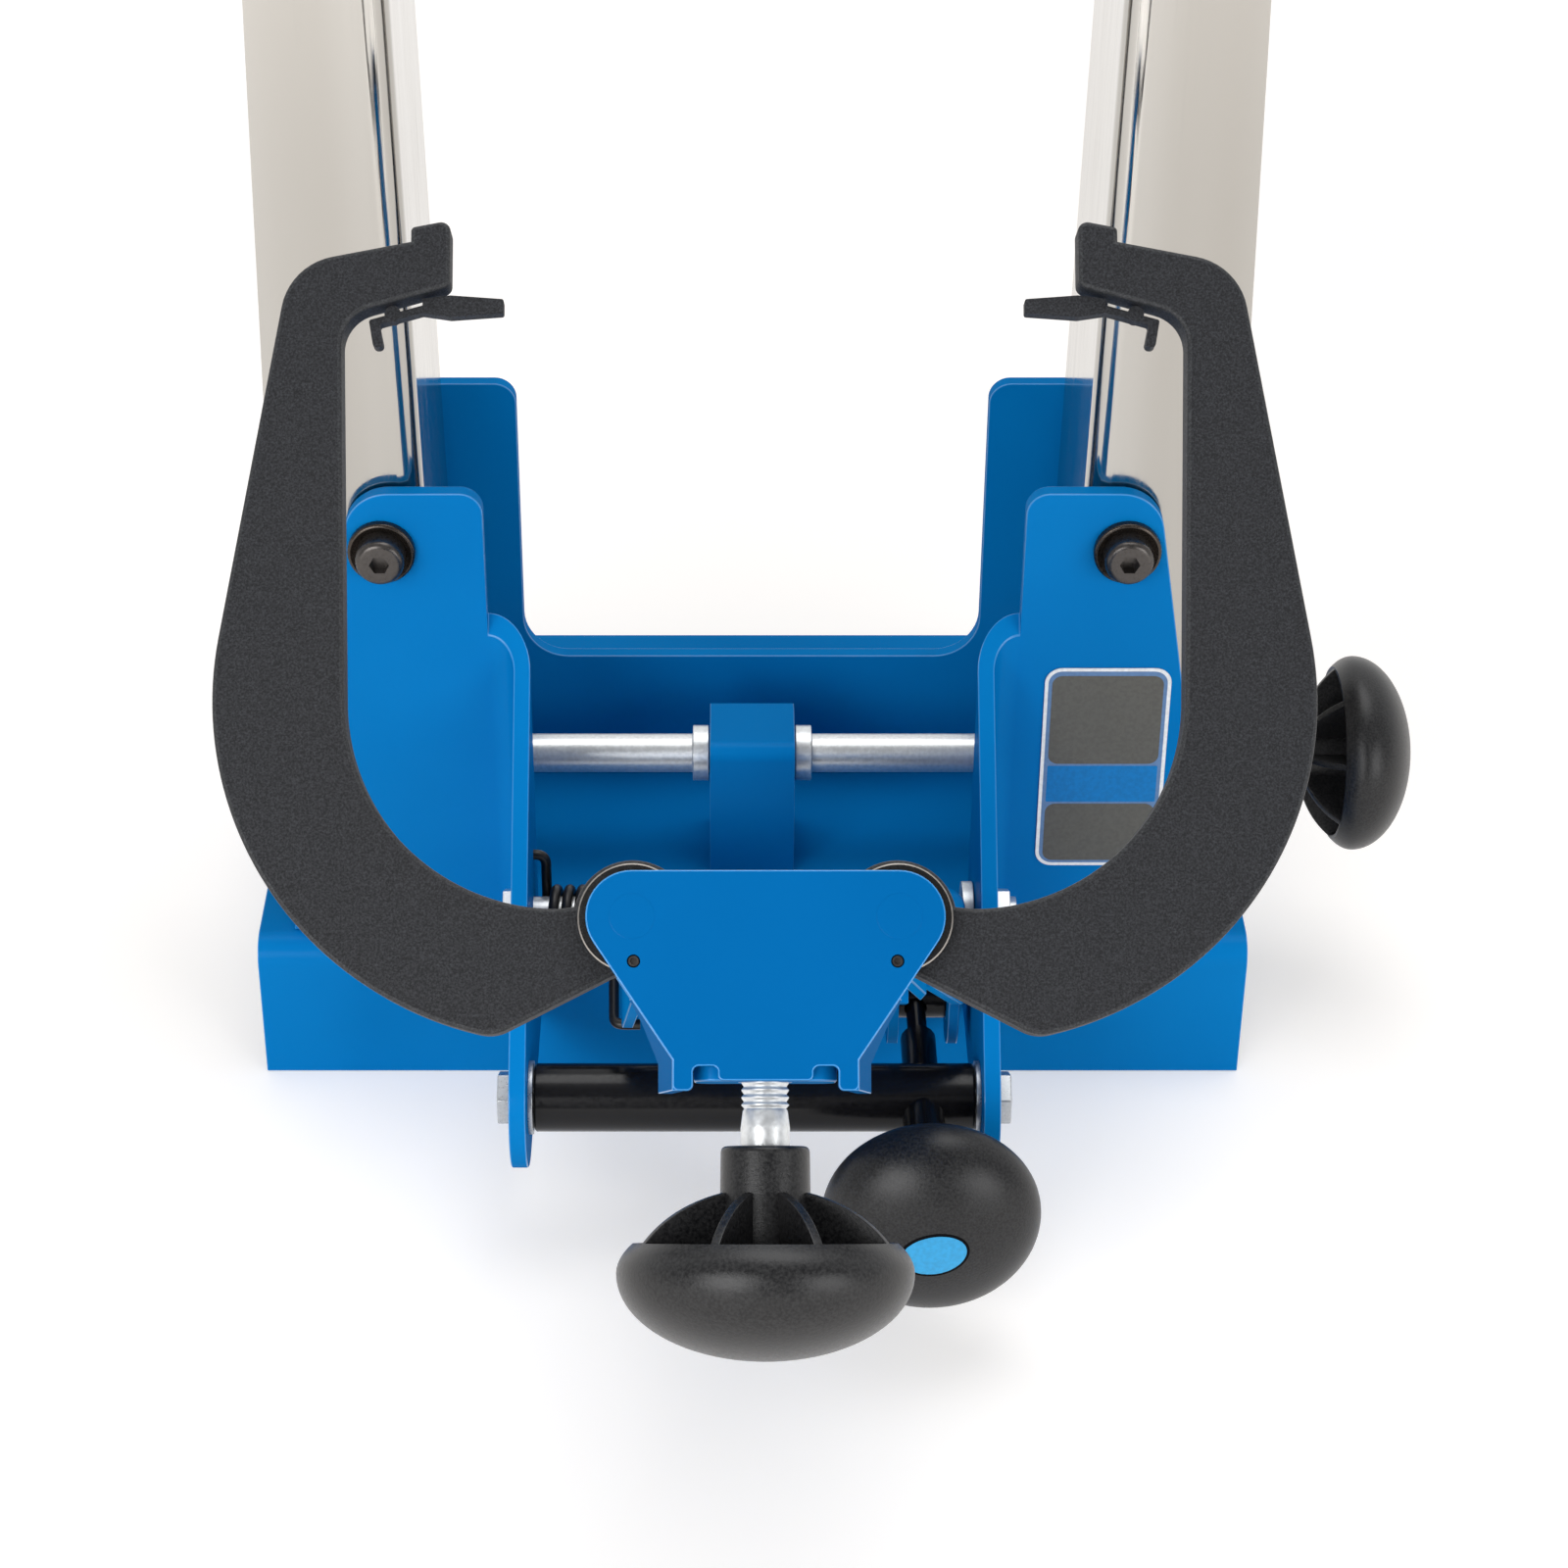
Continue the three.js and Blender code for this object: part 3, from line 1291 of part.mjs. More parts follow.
function makeCaliperScrew() {
  const spoolBottom = caliperPivotRise - spoolGroove * halfShare - spoolFlange;
  const spoolTop = caliperPivotRise + spoolGroove * halfShare + spoolFlange;
  const start = knobNeckEnd - knobBoreDepth + seatGap;
  return turned('y', [0, 0, 0], [
    [0, start],
    [caliperScrewRadius, start],
    [caliperScrewRadius, spoolBottom - runningGap],
    [caliperScrewTipRadius, spoolBottom - runningGap],
    [caliperScrewTipRadius, spoolTop + runningGap],
    [caliperScrewRadius, spoolTop + runningGap],
    [caliperScrewRadius, spoolTop + runningGap + heightScrewClip],
    [0, spoolTop + runningGap + heightScrewClip],
  ]);
}

// Assembly

function addPair(parent, name, make, material) {
  const right = make();
  place(parent, `${name}_left`, mirroredX(right), material);
  place(parent, `${name}_right`, right, material);
}

function assemble() {
  place(stand, 'base', makeBase(), bluePaint);
  addPair(stand, 'front_bracket', makeFrontBracket, bluePaint);
  place(stand, 'rear_bracket', makeRearBracket(), bluePaint);
  addPair(stand, 'pivot_bolt', makePivotBolt, blackSteel);
  addPair(stand, 'pivot_washer', makePivotWasher, blackSteel);
  addPair(stand, 'pivot_nut', makePivotNut, zincSteel);
  place(stand, 'cross_shaft', makeCrossShaft(), blackSteel);
  addPair(stand, 'cross_shaft_washer', makeCrossWasher, zincSteel);
  addPair(stand, 'cross_shaft_bolt', makeCrossBolt, zincSteel);
  place(stand, 'spindle_bearing', makeSpindleBearing(), bluePaint);
  addPair(stand, 'upright', makeUpright, platedSteel);
  addPair(stand, 'barrel_nut', makeBarrelNut, zincSteel);
  place(stand, 'spindle', makeSpindle(), zincSteel);
  const sideKnob = makeKnob(spindleRadius + seatGap).rotateY(-Math.PI * halfShare)
    .translate(sideKnobRingX, axleY, spindleHeight);
  place(stand, 'side_knob', sideKnob, blackPlastic);
  place(stand, 'stalk', makeStalk(), bluePaint);
  place(stand, 'clevis_plate', makeClevisPlate(), bluePaint);
  place(stand, 'pivot_tube', makePivotTube(), blackSteel);
  place(stand, 'pivot_shaft', makePivotShaft(), zincSteel);
  place(stand, 'pivot_shaft_nut', makePivotShaftNut(), zincSteel);
  place(stand, 'pivot_shaft_inner_washer',
    makePivotShaftWasher(stalkRight + runningGap, earInner - runningGap), zincSteel);
  place(stand, 'pivot_shaft_outer_washer',
    makePivotShaftWasher(earOuter, earOuter + pivotEndWasherThickness), zincSteel);
  place(stand, 'torsion_spring', makeSpring(), blackSteel);
  place(stand, 'height_barrel', makeHeightBarrel(), blackSteel);
  place(stand, 'height_screw', makeHeightScrew(), blackSteel);
  const heightKnob = makeKnob(heightScrewThreadRadius + seatGap).rotateX(-Math.PI * halfShare)
    .translate(heightScrewX, baseFront - heightKnobForward, crossShaftHeight);
  place(stand, 'height_knob', heightKnob, blackPlastic);
  const head = new THREE.Group();
  head.name = 'caliper_head';
  head.position.set(0, headY, headZ);
  head.rotation.x = THREE.MathUtils.degToRad(headTurnDegrees);
  stand.add(head);
  place(head, 'housing_front', makeHousingFront(), bluePaint);
  place(head, 'housing_back', makeHousingBack(), bluePaint);
  place(head, 'screw_plate', makeScrewPlate(), bluePaint);
  addPair(head, 'caliper_pin', makeCaliperPin, zincSteel);
  addPair(head, 'caliper_front_washer', () => makeCaliperWasher(1), blackSteel);
  addPair(head, 'caliper_rear_washer', () => makeCaliperWasher(-1), blackSteel);
  addPair(head, 'caliper_arm', makeArm, charcoalPaint);
  addPair(head, 'caliper_tip', makeTip, blackSteel);
  place(head, 'caliper_spool', makeSpool(), blackSteel);
  place(head, 'caliper_screw', makeCaliperScrew(), zincSteel);
  const frontKnob = makeKnob(caliperScrewRadius + seatGap).rotateX(-Math.PI * halfShare);
  place(head, 'front_knob', frontKnob, blackPlastic);
}

assemble();

export default stand;
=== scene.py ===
# Looks of a wheel truing stand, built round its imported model.
# Metres, +Z up, +X to the user's right, the user stands at -Y.

import json
import math

import bmesh
import bpy
from mathutils import Matrix, Vector

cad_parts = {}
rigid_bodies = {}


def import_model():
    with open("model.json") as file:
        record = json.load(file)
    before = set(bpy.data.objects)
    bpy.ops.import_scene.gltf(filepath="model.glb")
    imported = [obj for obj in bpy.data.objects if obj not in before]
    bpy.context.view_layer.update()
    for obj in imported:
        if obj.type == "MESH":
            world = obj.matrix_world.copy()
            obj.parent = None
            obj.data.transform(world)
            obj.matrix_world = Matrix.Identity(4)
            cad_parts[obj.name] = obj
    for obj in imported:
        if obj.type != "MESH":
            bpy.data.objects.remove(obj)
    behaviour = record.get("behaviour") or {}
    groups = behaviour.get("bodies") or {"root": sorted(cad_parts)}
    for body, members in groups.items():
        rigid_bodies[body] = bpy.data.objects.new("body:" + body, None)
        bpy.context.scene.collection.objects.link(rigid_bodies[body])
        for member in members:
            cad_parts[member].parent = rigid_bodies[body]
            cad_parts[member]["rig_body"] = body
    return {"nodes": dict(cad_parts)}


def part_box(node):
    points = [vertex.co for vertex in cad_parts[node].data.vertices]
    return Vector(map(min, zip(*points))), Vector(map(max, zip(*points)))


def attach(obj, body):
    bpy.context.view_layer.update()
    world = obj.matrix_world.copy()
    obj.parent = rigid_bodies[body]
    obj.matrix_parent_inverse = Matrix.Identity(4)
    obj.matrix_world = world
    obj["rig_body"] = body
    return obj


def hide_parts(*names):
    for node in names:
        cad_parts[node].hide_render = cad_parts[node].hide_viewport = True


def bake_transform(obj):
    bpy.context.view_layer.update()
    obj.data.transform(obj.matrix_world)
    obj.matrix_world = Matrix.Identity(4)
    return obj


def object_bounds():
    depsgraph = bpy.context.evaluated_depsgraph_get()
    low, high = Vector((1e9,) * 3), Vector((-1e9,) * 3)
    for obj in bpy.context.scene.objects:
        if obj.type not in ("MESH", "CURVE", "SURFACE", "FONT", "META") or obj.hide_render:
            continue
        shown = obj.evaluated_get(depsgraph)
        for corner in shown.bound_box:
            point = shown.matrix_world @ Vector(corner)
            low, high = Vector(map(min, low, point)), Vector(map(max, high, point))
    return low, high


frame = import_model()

MM = 0.001
CAD_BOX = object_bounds()

# Sizes and places that several sections share, as the solids have them.
# Here and below they are in millimetres, and angles are in degrees.
GAP = 0.3
SHEET = 4.8
EDGE = 0.35
BRACKET_FRONT = 5.6
UPRIGHT_PIVOT_X = 105.6
UPRIGHT_PIVOT_Z = 179.6
AXLE_Y = 52.1
SPINDLE_Z = 82
CROSS_Y = -72.9
CROSS_Z = 45
# the shaft that the stalk tilts on
PIVOT_Y = -24.4
PIVOT_Z = 75
# the caliper head, with its housing and the pins of its arms in the head's own frame
HEAD_Y = -325.5
HEAD_Z = 198.6
HEAD_TURN = 50
HOUSING_DEPTH = 11
HOUSING_SHEET = 3
ARM_THICKNESS = 8
PIN = (26.8, 71)
PIN_BORE = 4.9

HEAD = (Matrix.Translation(Vector((0, HEAD_Y, HEAD_Z)) * MM)
        @ Matrix.Rotation(math.radians(HEAD_TURN), 4, "X"))


# Materials

# a mix node's sockets for colours and for numbers, which share their names
COLOUR_A, COLOUR_B, COLOUR_RESULT = 6, 7, 2
NUMBER_A, NUMBER_B = 2, 3


def ramp(tree, source, low, high, start, end):
    """A colour or number that goes from low to high as the source goes from start to end."""
    node = tree.nodes.new("ShaderNodeMapRange")
    tree.links.new(source, node.inputs["Value"])
    node.inputs["From Min"].default_value = start
    node.inputs["From Max"].default_value = end
    if not isinstance(low, tuple):
        node.inputs["To Min"].default_value = low
        node.inputs["To Max"].default_value = high
        return node.outputs["Result"]
    mix = tree.nodes.new("ShaderNodeMix")
    mix.data_type = "RGBA"
    tree.links.new(node.outputs["Result"], mix.inputs["Factor"])
    mix.inputs[COLOUR_A].default_value = (*low, 1)
    mix.inputs[COLOUR_B].default_value = (*high, 1)
    return mix.outputs[COLOUR_RESULT]


def noise(tree, scale, detail, roughness=0.5, stretch=(1, 1, 1)):
    """Noise in the piece's own metres; scale is in features per metre."""
    coords = tree.nodes.new("ShaderNodeTexCoord")
    mapping = tree.nodes.new("ShaderNodeMapping")
    mapping.inputs["Scale"].default_value = stretch
    field = tree.nodes.new("ShaderNodeTexNoise")
    field.inputs["Scale"].default_value = scale
    field.inputs["Detail"].default_value = detail
    field.inputs["Roughness"].default_value = roughness
    tree.links.new(coords.outputs["Object"], mapping.inputs["Vector"])
    tree.links.new(mapping.outputs["Vector"], field.inputs["Vector"])
    return field.outputs["Fac"]


def bump(tree, shader, height, strength, distance):
    node = tree.nodes.new("ShaderNodeBump")
    node.inputs["Strength"].default_value = strength
    node.inputs["Distance"].default_value = distance
    tree.links.new(height, node.inputs["Height"])
    tree.links.new(node.outputs["Normal"], shader.inputs["Normal"])


def start_material(name, metallic=0.0, coat=0.0, coat_roughness=0.15, specular=0.5):
    material = bpy.data.materials.new(name)
    material.use_nodes = True
    shader = material.node_tree.nodes["Principled BSDF"]
    shader.inputs["Metallic"].default_value = metallic
    shader.inputs["Coat Weight"].default_value = coat
    shader.inputs["Coat Roughness"].default_value = coat_roughness
    shader.inputs["Specular IOR Level"].default_value = specular
    return material, material.node_tree, shader


def drive(tree, shader, colour, gloss):
    tree.links.new(colour, shader.inputs["Base Color"])
    tree.links.new(gloss, shader.inputs["Roughness"])


def paint_finish(name, dark, light, roughness, coat, specular):
    """Smooth powder coat: even colour, slight orange peel and a soft change of gloss."""
    material, tree, shader = start_material(name, coat=coat, coat_roughness=0.18, specular=specular)
    drift = noise(tree, scale=14, detail=2)
    peel = noise(tree, scale=520, detail=1)
    drive(tree, shader, ramp(tree, drift, dark, light, start=0.35, end=0.65),
          ramp(tree, drift, roughness - 0.04, roughness + 0.05, start=0.3, end=0.7))
    bump(tree, shader, peel, strength=0.1, distance=0.0004)
    return material


def speckled_finish(name, dark, light, roughness, depth):
    """Wrinkle coat: a dark ground with fine paler specks that stand a little proud."""
    material, tree, shader = start_material(name, specular=0.3)
    specks = noise(tree, scale=2300, detail=4, roughness=0.7)
    drive(tree, shader, ramp(tree, specks, dark, light, start=0.42, end=0.68),
          ramp(tree, specks, roughness + 0.08, roughness - 0.1, start=0.35, end=0.7))
    bump(tree, shader, specks, strength=0.35, distance=depth)
    return material


def moulded_finish(name, dark, light, roughness):
    """Moulded plastic with a spark-eroded skin."""
    material, tree, shader = start_material(name, specular=0.36)
    skin = noise(tree, scale=1500, detail=3, roughness=0.6)
    drive(tree, shader, ramp(tree, skin, dark, light, start=0.36, end=0.64),
          ramp(tree, skin, roughness - 0.05, roughness + 0.08, start=0.3, end=0.7))
    bump(tree, shader, skin, strength=0.34, distance=0.00014)
    return material


def brushed_finish(name, dark, light, roughness):
    """Plated metal with fine upright lines, and broad soft bands of lighter and darker colour painted in as
    reflections.
    """
    material, tree, shader = start_material(name, metallic=1.0)
    upright_lines = (1, 1, 0.015)
    lines = noise(tree, scale=900, stretch=upright_lines, detail=4, roughness=0.65)
    # the broad bands in the colour are painted reflections
    bands = noise(tree, scale=34, stretch=upright_lines, detail=1)
    drive(tree, shader, ramp(tree, bands, dark, light, start=0.3, end=0.66),
          ramp(tree, lines, roughness - 0.07, roughness + 0.1, start=0.3, end=0.7))
    bump(tree, shader, lines, strength=0.08, distance=0.0001)
    return material


def plain_finish(name, colour, roughness, metallic=0.0, specular=0.5, relief=0.1):
    """A small part's finish, with just enough grain to break its highlights."""
    material, tree, shader = start_material(name, metallic=metallic, specular=specular)
    grit = noise(tree, scale=900, detail=3)
    darker = tuple(value * 0.86 for value in colour)
    drive(tree, shader, ramp(tree, grit, darker, colour, start=0.35, end=0.65),
          ramp(tree, grit, roughness - 0.05, roughness + 0.07, start=0.3, end=0.7))
    bump(tree, shader, grit, strength=relief, distance=0.0001)
    return material


BLUE = paint_finish("blue_powder_coat", (0.001, 0.168, 0.475), (0.002, 0.188, 0.515),
                    roughness=0.36, coat=0.06, specular=0.0)
# the housing's blue is the same paint made darker: painted shade on its tilted face
HOUSING_BLUE_PAINTED_SHADE = paint_finish("housing_blue_painted_shade", (0.0006, 0.108, 0.33), (0.001, 0.118, 0.355),
                            roughness=0.36, coat=0.05, specular=0.0)
# the lighter blue on the eased rims is a painted highlight; the rim's coat and gloss are real shine
BLUE_RIM_PAINTED_HIGHLIGHT = paint_finish("blue_rim_painted_highlight", (0.018, 0.225, 0.57), (0.03, 0.26, 0.62),
                        roughness=0.3, coat=0.2, specular=0.5)
CHARCOAL = speckled_finish("charcoal_wrinkle_coat", (0.006, 0.0064, 0.008), (0.034, 0.036, 0.042),
                           roughness=0.62, depth=0.00016)
# the paler charcoal on the arms' eased rims is a painted highlight
CHARCOAL_RIM_PAINTED_HIGHLIGHT = speckled_finish("charcoal_rim_painted_highlight", (0.014, 0.015, 0.017), (0.050, 0.052, 0.057),
                               roughness=0.5, depth=0.0001)
KNOB = moulded_finish("black_moulded_plastic", (0.004, 0.004, 0.005), (0.020, 0.020, 0.021), roughness=0.35)
PLATE = brushed_finish("bright_plate", (0.40, 0.38, 0.35), (0.50, 0.487, 0.463), roughness=0.12)
GLOSS_BLACK = plain_finish("gloss_black_paint", (0.006, 0.006, 0.007), 0.2, specular=0.25, relief=0.04)
OXIDE = plain_finish("black_oxide_steel", (0.085, 0.078, 0.074), 0.3, metallic=0.85, relief=0.04)
WASHER = plain_finish("worn_black_washer", (0.065, 0.054, 0.046), 0.26, metallic=0.85, relief=0.04)
SPACER = plain_finish("oiled_spacer", (0.012, 0.012, 0.012), 0.25, specular=0.4, relief=0.04)
# the spacers' pale metal rim is a painted highlight ring
SPACER_RIM_PAINTED_HIGHLIGHT = plain_finish("spacer_rim_painted_highlight", (0.42, 0.39, 0.36), 0.32, metallic=0.85, relief=0.04)
SPRING = plain_finish("oiled_spring_wire", (0.028, 0.027, 0.027), 0.36, metallic=0.6)
ZINC = plain_finish("zinc_plate", (0.80, 0.82, 0.83), 0.34, metallic=0.72, relief=0.03)
ZINC_FASTENER = plain_finish("zinc_fastener", (0.50, 0.52, 0.54), 0.3, metallic=0.8, relief=0.03)
SILVER = plain_finish("satin_aluminium", (0.74, 0.77, 0.81), 0.34, metallic=0.8)
LABEL_GREY = plain_finish("label_charcoal", (0.12, 0.118, 0.108), 0.45, specular=0.15)
LABEL_FIELD = plain_finish("label_ground", (0.11, 0.22, 0.42), 0.4, metallic=0.3)
LABEL_BLUE = plain_finish("label_blue", (0.002, 0.19, 0.52), 0.4, specular=0.2)
STICKER_BLUE = plain_finish("sticker_blue", (0.025, 0.34, 0.67), 0.35)
STICKER_RIM = plain_finish("sticker_rim", (0.002, 0.002, 0.003), 0.5, specular=0.06)

# finishes for the eased rims, the faces with material index 1, whose lighter colour is a painted highlight
PAINTED_RIM_HIGHLIGHTS = {BLUE: BLUE_RIM_PAINTED_HIGHLIGHT, HOUSING_BLUE_PAINTED_SHADE: BLUE_RIM_PAINTED_HIGHLIGHT, CHARCOAL: CHARCOAL_RIM_PAINTED_HIGHLIGHT, SPACER: SPACER_RIM_PAINTED_HIGHLIGHT}


# Outlines and profiles, lists of points

def arc(cx, cy, radius, start, end, steps):
    """Points of an arc, both ends included."""
    points = []
    for i in range(steps + 1):
        angle = math.radians(start + (end - start) * i / steps)
        points.append((cx + radius * math.cos(angle), cy + radius * math.sin(angle)))
    return points


def curve(start, control, end, steps):
    """Points of a quadratic curve between two vectors, both ends included."""
    points = []
    for i in range(steps + 1):
        t = i / steps
        points.append(start * (1 - t) ** 2 + control * (2 * t * (1 - t)) + end * t ** 2)
    return points


def bent(corners, radius, steps=8):
    """A line through corners, each inner one turned into a smooth bend."""
    points = [Vector(corners[0])]
    for before, here, after in zip(corners, corners[1:], corners[2:]):
        here = Vector(here)
        first = here + (Vector(before) - here).normalized() * radius
        last = here + (Vector(after) - here).normalized() * radius
        points += curve(first, here, last, steps)
    points.append(Vector(corners[-1]))
    return points


def rounded(corners, steps=8):
    """A closed outline from corners (x, y, radius), each rounded by its radius."""
    points = []
    count = len(corners)
    for i, (x, y, radius) in enumerate(corners):
        here = Vector((x, y))
        if not radius:
            points.append((x, y))
            continue
        back = (Vector(corners[i - 1][:2]) - here).normalized()
        ahead = (Vector(corners[(i + 1) % count][:2]) - here).normalized()
        half = back.angle(ahead) / 2
        centre = here + (back + ahead).normalized() * (radius / math.sin(half))
        first = here + back * (radius / math.tan(half)) - centre
        last = here + ahead * (radius / math.tan(half)) - centre
        sweep = first.angle_signed(last)
        base = math.atan2(first.y, first.x)
        for k in range(steps + 1):
            angle = base - sweep * k / steps
            points.append((centre.x + radius * math.cos(angle), centre.y + radius * math.sin(angle)))
    return points


def sharp(points):
    """Points as corners without a radius."""
    return [(x, y, 0) for x, y in points]


def rectangle(x0, x1, y0, y1, radius=0, steps=8):
    return rounded([(x0, y0, radius), (x1, y0, radius), (x1, y1, radius), (x0, y1, radius)], steps)


def two_sided(half, steps):
    """A closed outline from the corners of its right half."""
    return rounded(half + [(-x, y, radius) for x, y, radius in reversed(half)], steps)


def inset(points, amount, least_reach=0.3):
    """A counter-clockwise outline drawn inward by amount."""
    count = len(points)
    drawn_in = []
    for i in range(count):
        here = Vector(points[i])
        before = (here - Vector(points[i - 1])).normalized()
        after = (Vector(points[(i + 1) % count]) - here).normalized()
        side = Vector((-before.y, before.x)) + Vector((-after.y, after.x))
        reach = 1 + before.dot(after)
        drawn_in.append(tuple(here + side * (amount / max(reach, least_reach))))
    return drawn_in


def fold(outer, sheet, inside, steps=8):
    """The section of a folded sheet from the corners of its outer face, thickened to the left."""
    runs = [(Vector(b) - Vector(a)).normalized() for a, b in zip(outer, outer[1:])]
    normals = [Vector((-run.y, run.x)) for run in runs]
    loop, back = [], []
    for i, corner in enumerate(outer):
        before = normals[max(i - 1, 0)]
        after = normals[min(i, len(normals) - 1)]
        middle = (before + after).normalized()
        inner = Vector(corner) + middle * (sheet / middle.dot(before))
        turn = before.x * after.y - before.y * after.x
        radii = (0, 0)
        if 0 < i < len(outer) - 1:
            radii = (inside + sheet, inside) if turn > 0 else (inside, inside + sheet)
        loop.append((*corner, radii[0]))
        back.append((inner.x, inner.y, radii[1]))
    return rounded(loop + back[::-1], steps)


def shaft(radius, low, high, bevel):
    """The profile of a turned bar, bevelled at both ends."""
    return [(0, low), (radius - bevel, low), (radius, low + bevel), (radius, high - bevel),
            (radius - bevel, high), (0, high)]


def stud(radius, low, high, bevel, drop):
    """The profile of a turned bar bevelled at its top, by bevel inward and drop down."""
    return [(0, low), (radius, low), (radius, high - drop), (radius - bevel, high), (0, high)]


def sleeve(bore, radius, low, high):
    return [(bore, low), (radius, low), (radius, high), (bore, high), (bore, low)]


# Places, as matrices

ONTO_X = Matrix(((0, 0, 1, 0), (1, 0, 0, 0), (0, 1, 0, 0), (0, 0, 0, 1)))
ONTO_Y = Matrix(((1, 0, 0, 0), (0, 0, -1, 0), (0, 1, 0, 0), (0, 0, 0, 1)))


def shifted(x, y, z=0):
    return Matrix.Translation(Vector((x, y, z)) * MM)


def along(axis, point):
    """A matrix that lays z along the axis through a point."""
    turns = {
        "x": Matrix.Rotation(math.pi / 2, 4, "Y"),
        "-x": Matrix.Rotation(-math.pi / 2, 4, "Y"),
        "y": Matrix.Rotation(-math.pi / 2, 4, "X"),
        "-y": Matrix.Rotation(math.pi / 2, 4, "X"),
        "z": Matrix.Identity(4),
    }
    return shifted(*point) @ turns[axis]


def moved(bm, matrix):
    bmesh.ops.transform(bm, matrix=matrix, verts=bm.verts)
    return bm


def mirrored(bm):
    bmesh.ops.transform(bm, matrix=Matrix.Scale(-1, 4, (1, 0, 0)), verts=bm.verts)
    bmesh.ops.reverse_faces(bm, faces=bm.faces)
    return bm


# Meshes, each a bmesh in metres from points in millimetres

POINT_RADIUS = 1e-6
WELD = 0.00002
SHARP = 35


def bridge(bm, a, b):
    """The band of faces between two rings of as many vertices."""
    faces = []
    for i in range(len(a)):
        j = (i + 1) % len(a)
        faces.append(bm.faces.new((a[i], a[j], b[j], b[i])))
    return faces


def lofted(sections, rims=()):
    """A closed mesh through rings of points; rims names the bands that are eased rims."""
    bm = bmesh.new()
    rings = [[bm.verts.new(Vector(point) * MM) for point in section] for section in sections]
    for level, (a, b) in enumerate(zip(rings, rings[1:])):
        for face in bridge(bm, a, b):
            face.material_index = int(level in rims)
    bm.faces.new(rings[0][::-1])
    bm.faces.new(rings[-1])
    return bm


def slab(points, low, high, edge=0.0, steps=3):
    """An outline raised from low to high, its rims rounded by edge."""
    area = sum(points[i - 1][0] * points[i][1] - points[i][0] * points[i - 1][1] for i in range(len(points)))
    outline = points if area > 0 else points[::-1]
    levels, rims = [(0.0, low), (0.0, high)], []
    if edge:
        quarter = [math.radians(90 * k / steps) for k in range(steps + 1)]
        rim = [(edge * (1 - math.sin(a)), edge * (1 - math.cos(a))) for a in quarter]
        levels = [(shrink, low + rise) for shrink, rise in rim]
        levels += [(shrink, high - rise) for shrink, rise in reversed(rim)]
        rims = [level for level in range(2 * steps + 1) if level != steps]
    sections = []
    for shrink, height in levels:
        ring = inset(outline, shrink) if shrink else outline
        sections.append([(x, y, height) for x, y in ring])
    return lofted(sections, rims)


def slab_x(points, low, high):
    """An outline in (y, z) raised along x."""
    return moved(slab(points, low, high), ONTO_X)


def slab_y(points, low, high):
    """An outline in (x, z) raised along y."""
    return moved(slab(points, -high, -low), ONTO_Y)


def hexagon(across, low, high):
    corner = across / 2 / math.cos(math.pi / 6)
    return slab(arc(0, 0, corner, 0, 300, 5), low, high)


def lathe(profile, sides=64):
    """A turned mesh about z from its profile of (radius, height)."""
    bm = bmesh.new()
    rings = []
    for radius, height in profile:
        if radius < POINT_RADIUS:
            rings.append([bm.verts.new(Vector((0, 0, height)) * MM)])
            continue
        ring = []
        for k in range(sides):
            angle = math.tau * k / sides
            point = Vector((radius * math.cos(angle), radius * math.sin(angle), height))
            ring.append(bm.verts.new(point * MM))
        rings.append(ring)
    for a, b in zip(rings, rings[1:]):
        if len(a) > 1 and len(b) > 1:
            bridge(bm, a, b)
            continue
        for k in range(sides):
            m = (k + 1) % sides
            if len(b) > 1:
                bm.faces.new((a[0], b[m], b[k]))
            elif len(a) > 1:
                bm.faces.new((a[k], a[m], b[0]))
    return bm


def rod(axis, point, radius, low, high, sides=40):
    return moved(lathe([(0, low), (radius, low), (radius, high), (0, high)], sides), along(axis, point))


def wire(points, radius, sides=14):
    """A tube along points, with flat closed ends."""
    normal = Vector((0, 0, 1))
    sections = []
    for i, point in enumerate(points):
        tangent = (points[min(i + 1, len(points) - 1)] - points[max(i - 1, 0)]).normalized()
        normal = normal - tangent * normal.dot(tangent)
        if normal.length < 0.01:
            normal = tangent.orthogonal()
        normal.normalize()
        side = tangent.cross(normal)
        section = []
        for k in range(sides):
            angle = math.tau * k / sides
            section.append(point + (normal * math.cos(angle) + side * math.sin(angle)) * radius)
        sections.append(section)
    return lofted(sections)


def placed(name, data):
    """A new object, linked into the scene."""
    obj = bpy.data.objects.new(name, data)
    bpy.context.scene.collection.objects.link(obj)
    return obj


def from_bmesh(name, bm):
    bmesh.ops.recalc_face_normals(bm, faces=bm.faces)
    mesh = bpy.data.meshes.new(name)
    bm.to_mesh(mesh)
    bm.free()
    return mesh


def carve(body, tool, operation="DIFFERENCE"):
    """Cuts, joins or intersects two meshes exactly."""
    objects = []
    for bm in (body, tool):
        mesh = from_bmesh("carve", bm)
        # without two materials the cut would lose which faces are rims
        mesh.materials.append(BLUE)
        mesh.materials.append(BLUE_RIM_PAINTED_HIGHLIGHT)
        objects.append(placed("carve", mesh))
    modifier = objects[0].modifiers.new("carve", "BOOLEAN")
    modifier.operation = operation
    modifier.solver = "EXACT"
    modifier.object = objects[1]
    depsgraph = bpy.context.evaluated_depsgraph_get()
    result = bmesh.new()
    result.from_mesh(objects[0].evaluated_get(depsgraph).to_mesh())
    for obj in objects:
        mesh = obj.data
        bpy.data.objects.remove(obj)
        bpy.data.meshes.remove(mesh)
    return result


def merge(body, other):
    """Adds another mesh's faces to the body's, as a welded part is."""
    mesh = from_bmesh("merge", other)
    body.from_mesh(mesh)
    bpy.data.meshes.remove(mesh)


